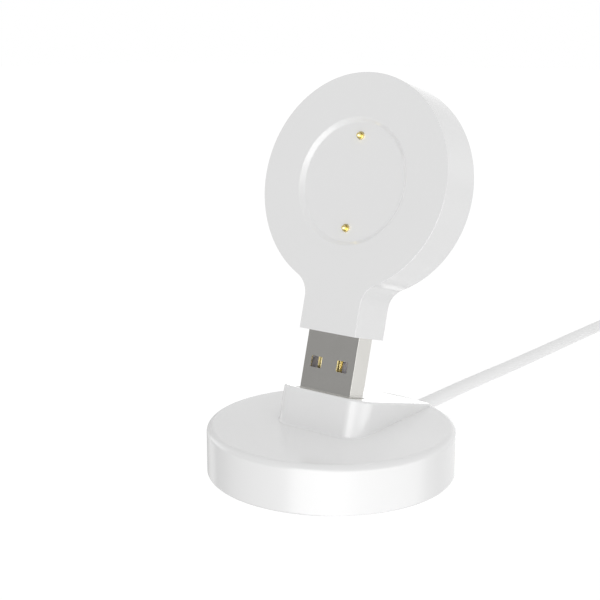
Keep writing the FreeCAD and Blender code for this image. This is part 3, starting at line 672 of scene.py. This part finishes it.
WHITE = surface("white_plastic", moulded_white, IOR=1.48, Coat_Weight=0.6, Coat_Roughness=0.12)
JACKET = surface("cable_jacket", cable_white, IOR=1.45)
NICKEL = surface("plug_nickel", drawn_nickel((5200, 5200, 90), (LEAN, 0, 0)), Metallic=1.0)
FAR_NICKEL = surface("far_plug_nickel", drawn_nickel((5200, 90, 5200)), Metallic=1.0)
GOLD = surface("contact_gold", gold_plate, Metallic=1.0)
INSULATOR = surface("core_plastic", core_plastic, IOR=1.46)
MAGNET = surface("plated_magnet", plated_magnet, Metallic=1.0)
BOARD = surface("circuit_board", solder_mask, IOR=1.5)
WIRE = surface("spring_wire", wound_wire, Metallic=1.0)
SCREW = surface("zinc_screw", zinc_screw, Metallic=1.0)
SILICONE = surface("soft_foot", soft_silicone, IOR=1.42)

SLOT_FINISHES = {
    "white_shell": WHITE,
    "gold_contact": GOLD,
    "plug_metal": NICKEL,
    "insulator": INSULATOR,
    "magnet": MAGNET,
    "circuit_board": BOARD,
    "spring_steel": WIRE,
    "screw_steel": SCREW,
    "soft_foot": SILICONE,
    "cable_jacket": JACKET,
}


def dress_nodes():
    """Gives each solid of the frame the material of its slot."""
    slots = {part["node"]: part["material_slot"] for part in frame["record"]["subparts"]}
    for name, thing in frame["nodes"].items():
        thing.data.materials.clear()
        thing.data.materials.append(SLOT_FINISHES[slots[name]])


# Rows of copies.
def row_nodes():
    """Geometry nodes for a row of copies of a thing, each narrower than the one before by the taper."""
    group = bpy.data.node_groups.new("row_of_copies", "GeometryNodeTree")
    kinds = {
        "Thing": "Object",
        "Count": "Int",
        "Start": "Vector",
        "Step": "Vector",
        "Taper": "Float",
        "Finish": "Material",
    }
    for name, kind in kinds.items():
        group.interface.new_socket(name, in_out="INPUT", socket_type="NodeSocket" + kind)
    group.interface.new_socket("Row", in_out="OUTPUT", socket_type="NodeSocketGeometry")
    nodes = Nodes(group)
    given = group.nodes.new("NodeGroupInput")
    thing, count, start, step, taper, finish = (Number(nodes, given.outputs[name]) for name in kinds)
    line = {"Count": count, "Start Location": start, "Offset": step}
    places = nodes.node("GeometryNodeMeshLine", {"mode": "OFFSET"}, line)
    width = 1.0 - taper * nodes.node("GeometryNodeInputIndex")
    scale = nodes.node("ShaderNodeCombineXYZ", {}, [width, width, 1.0])
    original = {"transform_space": "ORIGINAL"}
    shape = nodes.node("GeometryNodeObjectInfo", original, {"Object": thing}, "Geometry")
    copy = {"Points": places, "Instance": shape, "Scale": scale}
    copies = nodes.node("GeometryNodeInstanceOnPoints", {}, copy)
    real = nodes.node("GeometryNodeRealizeInstances", {}, {"Geometry": copies})
    dressed = nodes.node("GeometryNodeSetMaterial", {}, {"Geometry": real, "Material": finish})
    group.links.new(dressed.socket, group.nodes.new("NodeGroupOutput").inputs[0])
    return group


ROW_NODES = row_nodes()


def row_of(thing, count, start, step, finish, place=Matrix(), taper=0.0):
    """A row of copies of a thing as one plain mesh, which takes the thing's place."""
    row = bpy.data.objects.new("row", bpy.data.meshes.new("row"))
    bpy.context.scene.collection.objects.link(row)
    making = row.modifiers.new("row", "NODES")
    making.node_group = ROW_NODES
    keys = {item.name: item.identifier for item in ROW_NODES.interface.items_tree}
    given = {"Thing": thing, "Count": count, "Start": start, "Step": step, "Taper": taper, "Finish": finish}
    for name, setting in given.items():
        making[keys[name]] = setting
    settled(row)
    row.data.transform(place)
    bpy.data.objects.remove(thing)
    return row


# The head.
def disc_frame(rise=0.0):
    """The frame at the disc's middle, or above it along the plug axis, with Z to the back."""
    middle = HEAD_AXIS @ Vector((0, 0, DISC_RISE + rise))
    turned = Matrix((ACROSS, -ALONG, DEEP)).transposed().to_4x4()
    return Matrix.Translation(middle) @ turned


def recess_cutter():
    """The dish that takes the watch: a slope with a soft rim, then a flat floor."""
    slope = math.atan2(RECESS_DEPTH, RECESS_SLOPE)
    soft = RECESS_EDGE * math.tan(slope / 2)
    front = -HEAD_FRONT
    floor = RECESS_DEPTH - HEAD_FRONT
    profile = [(0, front - PAST), (RECESS_RADIUS + soft, front - PAST)]
    rim = arc((RECESS_RADIUS + soft, RECESS_EDGE), RECESS_EDGE, -math.pi / 2, -math.pi / 2 - slope, 5)
    profile += [(radius, front + height) for radius, height in rim]
    inner = RECESS_RADIUS - RECESS_SLOPE
    foot = arc((inner - soft, -RECESS_EDGE), RECESS_EDGE, math.pi / 2 - slope, math.pi / 2, 5)
    profile += [(radius, floor + height) for radius, height in foot]
    profile.append((0, floor))
    return solid("cutter", lathe(profile, DISC_STEPS), disc_frame())


def head_shell():
    """The head's moulding: the paddle with softened edges, the recess, pin holes and hollow."""
    rings = []
    for inset, setback in edge_round(HEAD_EDGE):
        rings.append([(x, setback - HEAD_FRONT, z) for x, z in paddle(inset)])
    for inset, setback in reversed(edge_round(HEAD_EDGE)):
        rings.append([(x, HEAD_BACK - setback, z) for x, z in paddle(inset)])
    shell = solid("head_shell", loft(rings), HEAD_AXIS)
    seat = HEAD_BACK - LID_THICK
    half_wide, half_thick = PLUG_WIDTH / 2 + CORE_GAP, PLUG_THICK / 2 + CORE_GAP
    low = (-half_wide, -half_thick, NECK_FOOT - PAST)
    high = (half_wide, half_thick, PLUG_END + BOARD_ROOM)
    cutters = [
        recess_cutter(),
        cylinder(DISC_RADIUS - LID_LAP, seat, HEAD_BACK + PAST, DISC_STEPS, disc_frame()),
        cylinder(DISC_RADIUS - HEAD_WALL, FRONT_WALL - HEAD_FRONT, HEAD_BACK, DISC_STEPS, disc_frame()),
        block(low, high, HEAD_AXIS),
    ]
    pin_hole = BARREL_RADIUS + PIN_GAP
    for rise in (PIN_PLACE, -PIN_PLACE):
        cutters.append(cylinder(pin_hole, -HEAD_FRONT - PAST, 0, HOLE_STEPS, disc_frame(rise)))
    combine(shell, "DIFFERENCE", cutters)
    return present(smooth(shell), "head_moulding", "head", "white_shell", WHITE, "head_front_shell")


def pin_barrel(name, rise):
    """A pin's closed barrel with a softly turned lip."""
    front = RECESS_DEPTH - HEAD_FRONT - BARREL_PROUD
    floor = BARREL_END - BARREL_FLOOR
    step = front + BARREL_LIP
    edge, half_edge = BARREL_EDGE, BARREL_EDGE / 2
    profile = [(0, floor), (BARREL_BORE, floor), (BARREL_BORE, step), (BARREL_MOUTH, step)]
    profile += arc((BARREL_MOUTH + half_edge, front + half_edge), half_edge, math.pi, math.pi * 1.5, 4)
    profile += arc((BARREL_RADIUS - edge, front + edge), edge, -math.pi / 2, 0, 5)
    profile += [(BARREL_RADIUS, BARREL_END), (0, BARREL_END)]
    barrel = smooth(solid("barrel", lathe(profile, SLEEVE_STEPS), disc_frame(rise)))
    present(barrel, f"pin_barrel_{name}", "head", "gold_contact", GOLD, f"pogo_barrel_{name}")


def pin_plunger(name, rise):
    """A pin's plunger: a domed tip, its shaft and the shoulder that keeps it in the barrel."""
    mouth = RECESS_DEPTH - HEAD_FRONT - BARREL_PROUD
    front = mouth - PLUNGER_PROUD
    shoulder = mouth + BARREL_LIP + SLOT_GAP
    dome = arc((0, front + PLUNGER_RADIUS), PLUNGER_RADIUS, -math.pi / 2, 0, 12)
    profile = [(0, front)] + dome[1:]
    profile += [
        (PLUNGER_RADIUS, shoulder),
        (PLUNGER_SHOULDER, shoulder),
        (PLUNGER_SHOULDER, shoulder + SHOULDER_LONG),
        (0, shoulder + SHOULDER_LONG),
    ]
    plunger = smooth(solid("plunger", lathe(profile, SLEEVE_STEPS), disc_frame(rise)))
    node = f"pogo_plunger_{name}"
    present(plunger, f"pin_plunger_{name}", f"{name}_pin", "gold_contact", GOLD, node)


# The plug.
def plug_outline(inset):
    """The plug's outline, moved inwards by the inset."""
    return rounded_polygon(rectangle(PLUG_WIDTH / 2, PLUG_THICK / 2), [PLUG_CORNER] * 4, inset, 6)


def sheet_metal_shell(name, tip_to_end, place, finish):
    """The plug's shell: folded sheet with a softened tip, two windows each side and a seam behind."""
    rings = []
    for inset, setback in edge_round(TIP_FOLD, 4):
        rings.append([(x, y, setback) for x, y in plug_outline(inset)])
    rings.append([(x, y, tip_to_end) for x, y in plug_outline(0)])
    shell = solid(name, loft(rings), place)
    inside = solid("cutter", prism(plug_outline(PLUG_WALL), -PAST, tip_to_end + PAST), place)
    outline = rounded_polygon(rectangle(WINDOW_WIDTH / 2, WINDOW_TALL / 2), [WINDOW_CORNER] * 4, 0, 4)
    window = solid("cutter", loft([[(x, y, z) for x, z in outline] for y in (PLUG_THICK, -PLUG_THICK)]))
    first, step = (-WINDOW_PLACE, 0, WINDOW_RISE), (2 * WINDOW_PLACE, 0, 0)
    windows = row_of(window, 2, first, step, finish, place)
    combine(shell, "DIFFERENCE", [inside, windows])
    back = PLUG_THICK / 2
    low = (-SEAM_HALF, back - SEAM_DEEP, -PAST)
    high = (SEAM_HALF, back + SEAM_DEEP, tip_to_end + PAST)
    seam = block(low, high, place)
    return smooth(combine(shell, "DIFFERENCE", [seam]))


def contact_strips(name, first, last):
    """Two gold strips of one length, crowned along their middle and eased down at their tips."""
    low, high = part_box(f"plug_contact_{first}")
    corners = [Vector((0, y, z)) for y in (low[1], high[1]) for z in (low[2], high[2])]
    heights = [(HEAD_AXIS.inverted() @ corner).z for corner in corners]
    start = min(heights) + CONTACT_CROWN
    end = max(heights) - CONTACT_CROWN
    section = [
        (-CONTACT_HALF, CONTACT_BACK),
        (-CONTACT_HALF, -CONTACT_FRONT * STRIP_SIDE),
        (-CONTACT_HALF * CROWN_FOOT, -CONTACT_FRONT),
        (-CONTACT_HALF * CROWN_TOP, -CONTACT_FRONT - CONTACT_CROWN),
    ]
    section += [(-x, y) for x, y in reversed(section)]
    rings = [[(x, CONTACT_BACK, start) for x, y in section]]
    rings += [[(x, y, z) for x, y in section] for z in (start + CONTACT_EASE, end)]
    strip = solid("strip", loft(rings))
    left, right = CONTACT_PLACES[first - 1], CONTACT_PLACES[last - 1]
    pair = smooth(row_of(strip, 2, (left, 0, 0), (right - left, 0, 0), GOLD, HEAD_AXIS))
    nodes = (f"plug_contact_{first}", f"plug_contact_{last}")
    present(pair, name, "head", "gold_contact", GOLD, *nodes)


# The dock.
def housing_rings():
    """The leaning housing, as one outline at each height: a small fillet at the foot, a soft top edge."""
    reach = (DOCK_RADIUS - AXIS_PLACE) / math.cos(LEAN)
    corners = [
        (-HOUSING_HALF_FRONT, -HOUSING_FRONT),
        (HOUSING_HALF_FRONT, -HOUSING_FRONT),
        (HOUSING_HALF_REAR, reach),
        (-HOUSING_HALF_REAR, reach),
    ]
    radii = [HOUSING_CORNER, HOUSING_CORNER, 0, 0]

    def outline(inset):
        return rounded_polygon(corners, radii, inset, 24)

    # The foot's rings are level, so their points stand at different heights along the axis,
    # and those at the back stop below the soft top edge.
    rings = []
    feet = [(FOOT_FILLET, -HOUSING_SINK)]
    feet += [(wide, high - FOOT_SUNK) for high, wide in reversed(edge_round(FOOT_FILLET, 5))]
    highest = HOUSING_RISE - FOOT_BELOW_TOP
    for wide, high in feet:
        ring = []
        for x, y in outline(-wide):
            rise = (high + y * math.sin(LEAN)) / math.cos(LEAN)
            ring.append((x, y, min(rise, highest)))
        rings.append(ring)
    for inset, setback in reversed(edge_round(HOUSING_EDGE, 6)):
        rings.append([(x, y, HOUSING_RISE - setback) for x, y in outline(inset)])
    return rings


def outlet_frame():
    """The frame on the dock's axis at the cable's height, with Z out of the back."""
    return Matrix.Translation((0, 0, CABLE_RISE)) @ Matrix.Rotation(-math.pi / 2, 4, "X")


def puck():
    """The dock's round body with rounded rims."""
    top_round, foot_round = DOCK_TOP_ROUND, DOCK_BOTTOM_ROUND
    top = arc((DOCK_RADIUS - top_round, DOCK_TOP - top_round), top_round, math.pi / 2, 0, 10)
    foot = arc((DOCK_RADIUS - foot_round, DOCK_LIFT + foot_round), foot_round, 0, -math.pi / 2, 6)
    return solid("dock", lathe([(0, DOCK_TOP)] + top + foot + [(0, DOCK_LIFT)], DOCK_STEPS))


def mouth_cutter():
    """The socket's mouth: a rounded slot that widens at its top."""
    corners = rectangle(MOUTH_HALF_WIDE, MOUTH_HALF_THICK)
    rings = []
    for grow, z in (
        (0, -DOCK_TOP),
        (0, HOUSING_RISE - MOUTH_EDGE),
        (MOUTH_EDGE, HOUSING_RISE),
        (MOUTH_EDGE, HOUSING_RISE + PAST),
    ):
        rings.append([(x, y, z) for x, y in rounded_polygon(corners, [MOUTH_CORNER] * 4, -grow, 5)])
    return solid("cutter", loft(rings), DOCK_AXIS)


def dock_moulding():
    """The puck and the housing in one, open below, with the socket's mouth and the cable's hole."""
    dock = puck()
    housing = solid("housing", loft(housing_rings()), DOCK_AXIS)
    combine(housing, "INTERSECT", [cylinder(DOCK_RADIUS - RIM_LAND, -DOCK_TOP, 4 * DOCK_TOP, DOCK_STEPS)])
    combine(dock, "UNION", [housing])
    inside = cylinder(DOCK_RADIUS - DOCK_WALL, -DOCK_TOP, DOCK_TOP - DOCK_WALL, DISC_STEPS)
    start, end = DOCK_RADIUS - 2 * DOCK_WALL, DOCK_RADIUS + PAST
    hole = cylinder(GLAND_RADIUS + CORE_GAP, start, end, SLEEVE_STEPS, outlet_frame())
    combine(dock, "DIFFERENCE", [inside, mouth_cutter(), hole])
    present(smooth(dock), "dock_moulding", "dock", "white_shell", WHITE, "dock_shell")


def foot_pad():
    """The soft foot with a rounded rim."""
    low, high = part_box("anti_slip_pad")
    radius, bottom, top = high[0], low[2], high[2]
    rim = arc((radius - PAD_RIM, bottom + PAD_RIM), PAD_RIM, -math.pi / 2, 0, 5)
    profile = [(0, bottom)] + rim + [(radius, top), (0, top)]
    pad = smooth(solid("pad", lathe(profile, DISC_STEPS)))
    present(pad, "foot_pad", "dock", "soft_foot", SILICONE, "anti_slip_pad")


def gland():
    """The soft sleeve round the cable where it leaves the dock."""
    low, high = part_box("cable_gland")
    start, end = low[1], high[1]
    bore = CABLE_RADIUS + CORE_GAP
    lip = arc((GLAND_RADIUS - GLAND_LIP, end - GLAND_LIP), GLAND_LIP, 0, math.pi / 2, 5)
    profile = [(bore, start), (GLAND_RADIUS, start)] + lip + [(bore, end)]
    sleeve = smooth(solid("gland", lathe(profile, SLEEVE_STEPS), outlet_frame()))
    present(sleeve, "cable_sleeve", "dock", "cable_jacket", JACKET, "cable_gland")


# The cable and its far plug.
def far_frame():
    """The frame at the far plug's tip: X across, Y up and Z back along the cable."""
    tip = Vector((FAR_X, FAR_Y - FAR_LONG - PLUG_WIDTH, FAR_RISE))
    turned = Matrix(((1, 0, 0), (0, 0, -1), (0, 1, 0))).transposed().to_4x4()
    return Matrix.Translation(tip) @ turned


def far_body():
    """The far plug's grip: a softly rounded block with finger grooves on both sides."""
    place = Matrix.Translation((FAR_X, FAR_Y, FAR_RISE)) @ Matrix.Rotation(math.pi / 2, 4, "X")
    half_wide, half_thick = FAR_WIDTH / 2, FAR_THICK / 2
    corners = rectangle(half_wide, half_thick)
    heights = edge_round(FAR_EDGE, 6)
    heights += [(inset, FAR_LONG - setback) for inset, setback in reversed(edge_round(FAR_EDGE, 6))]
    rings = []
    for inset, z in heights:
        rings.append([(x, y, z) for x, y in rounded_polygon(corners, [FAR_CORNER] * 4, inset, 10)])
    grip = solid("grip", loft(rings), place)
    half_groove = half_thick * GROOVE_SHARE
    upright = Matrix.Rotation(math.pi / 2, 4, "X")
    for side in (-1, 1):
        x = side * (half_wide - GROOVE_DEEP + GROOVE_RADIUS)
        start = (x, 0, FAR_LONG / 2 - GROOVE_PITCH * (GROOVE_COUNT - 1) / 2)
        groove = cylinder(GROOVE_RADIUS, -half_groove, half_groove, GROOVE_STEPS, upright)
        grooves = row_of(groove, GROOVE_COUNT, start, (0, 0, GROOVE_PITCH), WHITE, place)
        combine(grip, "DIFFERENCE", [grooves])
    return present(smooth(grip), "far_grip", "dock", "white_shell", WHITE, "far_plug_body")


def far_relief():
    """The strain relief behind the far plug: a tapered sleeve with a row of ribs, each narrower."""
    place = Matrix.Translation((FAR_X, FAR_Y, FAR_RISE)) @ Matrix.Rotation(-math.pi / 2, 4, "X")
    bore = CABLE_RADIUS + CORE_GAP
    valley = RELIEF_RADIUS - RIB_PROUD
    profile = [(bore, 0), (valley, 0), (bore + RELIEF_LIP, RELIEF_LONG), (bore, RELIEF_LONG)]
    relief = solid("relief", lathe(profile, SLEEVE_STEPS), place)
    pitch = RELIEF_LONG / RIB_COUNT
    top, foot, root = pitch * RIB_TOP, pitch * RIB_FOOT, valley - RIB_SUNK
    profile = [(root, 0), (RELIEF_RADIUS, 0), (RELIEF_RADIUS, top), (root, foot)]
    rib = solid("rib", lathe(profile, SLEEVE_STEPS))
    taper = (1 - RELIEF_NARROW / RELIEF_RADIUS) / RIB_COUNT
    ribs = row_of(rib, RIB_COUNT, (0, 0, 0), (0, 0, pitch), JACKET, place, taper)
    combine(relief, "UNION", [ribs])
    return present(smooth(relief), "far_relief", "dock", "cable_jacket", JACKET, "far_strain_relief")


# The cable's control points in millimetres: from the dock to the coil, and from there to the plug.
CABLE_ROUTE = [
    (0, 16, 4.9),
    (0, 36, 4.9),
    (-3.9, 60, 2.8),
    (-5.6, 86, 1.5),
    (-5.9, 122, 1.5),
    (-5.9, 158, 1.5),
]
END_ROUTE = [
    (42.1, 156, 4.5),
    (42.1, 136, 4.0),
]


def coil_points():
    """The neat coil: turns inwards on the ground, then outwards on top of them."""
    spread = 1 / math.cos(math.pi / TURN_POINTS)
    steps = int(COIL_TURNS * TURN_POINTS)
    rise = TURN_POINTS // 2
    points = []
    for i in range(1, 2 * steps + rise):
        turned = 2 * math.pi * i / TURN_POINTS
        if i < steps:
            radius = COIL_OUTER + (COIL_INNER - COIL_OUTER) * i / steps
            height = LAYERS[0]
        elif i < steps + rise:
            radius = COIL_INNER
            height = LAYERS[0] + (LAYERS[1] - LAYERS[0]) * (i - steps) / rise
        else:
            radius = COIL_INNER + (COIL_OUTER - COIL_INNER) * (i - steps - rise) / steps
            height = LAYERS[1]
        angle = math.pi - turned
        x = COIL_CENTRE.x + radius * spread * math.cos(angle)
        y = COIL_CENTRE.y + radius * spread * math.sin(angle)
        points.append((x, y, height))
    return points


def route_length(curve):
    """The length of the finished line, read from the curve without its thickness."""
    thin = curve.copy()
    thin.data = curve.data.copy()
    thin.data.bevel_depth = 0
    bpy.context.scene.collection.objects.link(thin)
    line = plain_mesh(thin)
    bpy.data.objects.remove(thin)
    length = 0.0
    for edge in line.edges:
        start, end = (line.vertices[i].co for i in edge.vertices)
        length += (end - start).length
    return length


def cable():
    """The whole cable as one smooth line: out of the dock, along the ground, the coil, the plug."""
    points = [tuple(v * MM for v in spot) for spot in CABLE_ROUTE]
    points += coil_points()
    points += [tuple(v * MM for v in spot) for spot in END_ROUTE]
    data = bpy.data.curves.new("cable_line", "CURVE")
    data.dimensions = "3D"
    data.bevel_depth = CABLE_RADIUS
    data.bevel_resolution = 7
    data.resolution_u = 10
    data.use_fill_caps = True
    spline = data.splines.new("NURBS")
    spline.points.add(len(points) - 1)
    for point, spot in zip(spline.points, points):
        point.co = (*spot, 1)
    spline.order_u = 3
    spline.use_endpoint_u = True
    line = bpy.data.objects.new("cable_line", data)
    bpy.context.scene.collection.objects.link(line)
    return present(line, "cable_line", "dock", "cable_jacket", JACKET, "cable", "cable_coil", "cable_end")


# The stage.
def rays(finish, kind):
    """Light Path's answer to what kind of ray asks for the colour."""
    return finish.node("ShaderNodeLightPath", output=kind)


GROUND_HALF = 3.0


def stage_floor():
    """A plain white ground that keeps a faint shadow."""
    mesh = bmesh.new()
    mesh.faces.new([mesh.verts.new((x, y, 0)) for x, y in rectangle(GROUND_HALF, GROUND_HALF)])
    floor = solid("ground", mesh)
    material = bpy.data.materials.new("ground_white")
    finish = Finish(material, "ShaderNodeOutputMaterial")
    plain = finish.node("ShaderNodeBsdfDiffuse", {}, {"Color": grey(0.85)})
    held = finish.node("ShaderNodeBsdfDiffuse", {}, {"Color": grey(0.22)})
    glow = finish.node("ShaderNodeEmission", {}, {"Color": grey(1.0), "Strength": 0.85})
    shown = finish.node("ShaderNodeAddShader", {}, [held, glow])
    seen = rays(finish, "Is Camera Ray")
    finish.send(finish.node("ShaderNodeMixShader", {}, [seen, plain, shown]))
    floor.data.materials.append(material)
    floor.visible_glossy = False
    floor.visible_diffuse = False


# Brightness seen in reflections, by the angle round the vertical in degrees from +X: near the
# ground, and above the horizon.
LOW_AROUND = [
    (-180, 0.40),
    (-166, 0.40),
    (-132, 1.1),
    (-110, 1.5),
    (-96, 1.9),
    (-84, 3.8),
    (-62, 4.4),
    (-43, 4.4),
    (-24, 3.6),
    (5, 3.1),
    (30, 2.4),
    (44, 1.15),
    (60, 0.80),
    (82, 0.95),
    (112, 1.0),
    (117, 1.8),
    (127, 1.8),
    (131, 0.60),
    (150, 0.60),
    (160, 0.85),
    (170, 0.85),
    (177, 0.40),
]
HIGH_AROUND = [
    (-180, 1.5),
    (-167, 1.5),
    (-156, 0.35),
    (-108, 0.33),
    (-92, 1.4),
    (-80, 3.9),
    (-64, 3.9),
    (-48, 2.4),
    (-20, 1.5),
    (10, 1.0),
    (60, 1.0),
    (125, 1.05),
    (131, 1.0),
    (140, 0.6),
    (164, 0.6),
    (172, 1.5),
]
ZENITH_SHINE = 0.55

# Where the low panels give way to the high ones, as a place from straight down to straight up.
GROUND_BLEND = [(0.46, 0.0), (0.52, 1.0)]
# Where the high panels give way to the even shine overhead, by the direction's height.
ZENITH_BLEND = [(0.12, 0.0), (0.60, 1.0)]


def studio_sky():
    """White behind the object; round it an even light, with soft panels seen only in reflections."""
    world = bpy.data.worlds.new("studio")
    bpy.context.scene.world = world
    finish = Finish(world, "ShaderNodeOutputWorld")
    direction = finish.node("ShaderNodeTexCoord", output="Generated")
    x, y, z = (finish.node("ShaderNodeSeparateXYZ", {}, [direction], axis) for axis in "XYZ")
    azimuth = finish.node("ShaderNodeMath", {"operation": "ARCTAN2"}, [y, x])
    turn = azimuth * (1 / (2 * math.pi)) + 0.5
    low, high = (finish.ramp(turn, [((angle + 180) / 360, level) for angle, level in around])
                 for around in (LOW_AROUND, HIGH_AROUND))
    above_ground = finish.ramp(z * 0.5 + 0.5, GROUND_BLEND)
    near_zenith = finish.ramp(z, ZENITH_BLEND)
    shine = finish.mix(near_zenith, finish.mix(above_ground, low, high), grey(ZENITH_SHINE))
    up, down = z.above_zero(), (0.0 - z).above_zero()
    behind, before = y.above_zero(), (0.0 - y).above_zero()
    right, leftward = x.above_zero(), (-0.2 - x).above_zero()
    # What matt surfaces receive: less from straight above, from behind and from the left.
    even = 1.0 - 0.36 * up
    even += up * (0.4 * behind + 0.45 * before + 0.3 * right)
    even -= 0.18 * behind
    even -= down * (0.25 * before + 0.1 * right)
    even -= 0.04 * x
    even -= 0.42 * leftward
    softly = finish.mix(rays(finish, "Is Glossy Ray"), even, shine)
    level = finish.mix(rays(finish, "Is Camera Ray"), softly, grey(1.0))
    finish.send(finish.node("ShaderNodeBackground", {}, {"Color": level, "Strength": 1.0}))


CAMERA_SPOT = Vector((130.27, -175.54, 83.1)) * MM
CAMERA_YAW = math.radians(38.18)
CAMERA_PITCH = math.radians(12.55)
CAMERA_LENS = 69.97
CAMERA_SENSOR = 36
CAMERA_NEAR = 1.0 * MM


def photo_camera():
    """The camera at the photograph's place and angle."""
    level = math.cos(CAMERA_PITCH)
    forward = Vector((-math.sin(CAMERA_YAW) * level, math.cos(CAMERA_YAW) * level, -math.sin(CAMERA_PITCH)))
    right = Vector((math.cos(CAMERA_YAW), math.sin(CAMERA_YAW), 0))
    up = right.cross(forward)
    data = bpy.data.cameras.new("camera")
    data.sensor_width = CAMERA_SENSOR
    data.lens = CAMERA_LENS
    data.clip_start = CAMERA_NEAR
    camera = bpy.data.objects.new("camera", data)
    turned = Matrix((right, up, -forward)).transposed().to_4x4()
    camera.matrix_world = Matrix.Translation(CAMERA_SPOT) @ turned
    bpy.context.scene.collection.objects.link(camera)
    bpy.context.scene.camera = camera


bpy.context.scene.view_settings.view_transform = "Standard"
photo_camera()
studio_sky()
stage_floor()
dress_nodes()

line = cable()
head_shell()
for pin, rise in (("upper", PIN_PLACE), ("lower", -PIN_PLACE)):
    pin_barrel(pin, rise)
    pin_plunger(pin, rise)
sheet = sheet_metal_shell("plug", PLUG_END, HEAD_AXIS, NICKEL)
present(sheet, "plug_sheet", "head", "plug_metal", NICKEL, "plug_shell")
contact_strips("plug_outer_strips", 1, 4)
contact_strips("plug_inner_strips", 2, 3)
dock_moulding()
foot_pad()
gland()
grip = far_body()
relief = far_relief()
far_sheet = sheet_metal_shell("far_plug", PLUG_WIDTH, far_frame(), FAR_NICKEL)
present(far_sheet, "far_plug_sheet", "dock", "plug_metal", FAR_NICKEL, "far_plug_shell")
core = [frame["nodes"]["far_plug_insulator"]]
core += [frame["nodes"][f"far_plug_contact_{i}"] for i in range(1, 5)]
route_length(line)
[grip, relief, far_sheet] + core
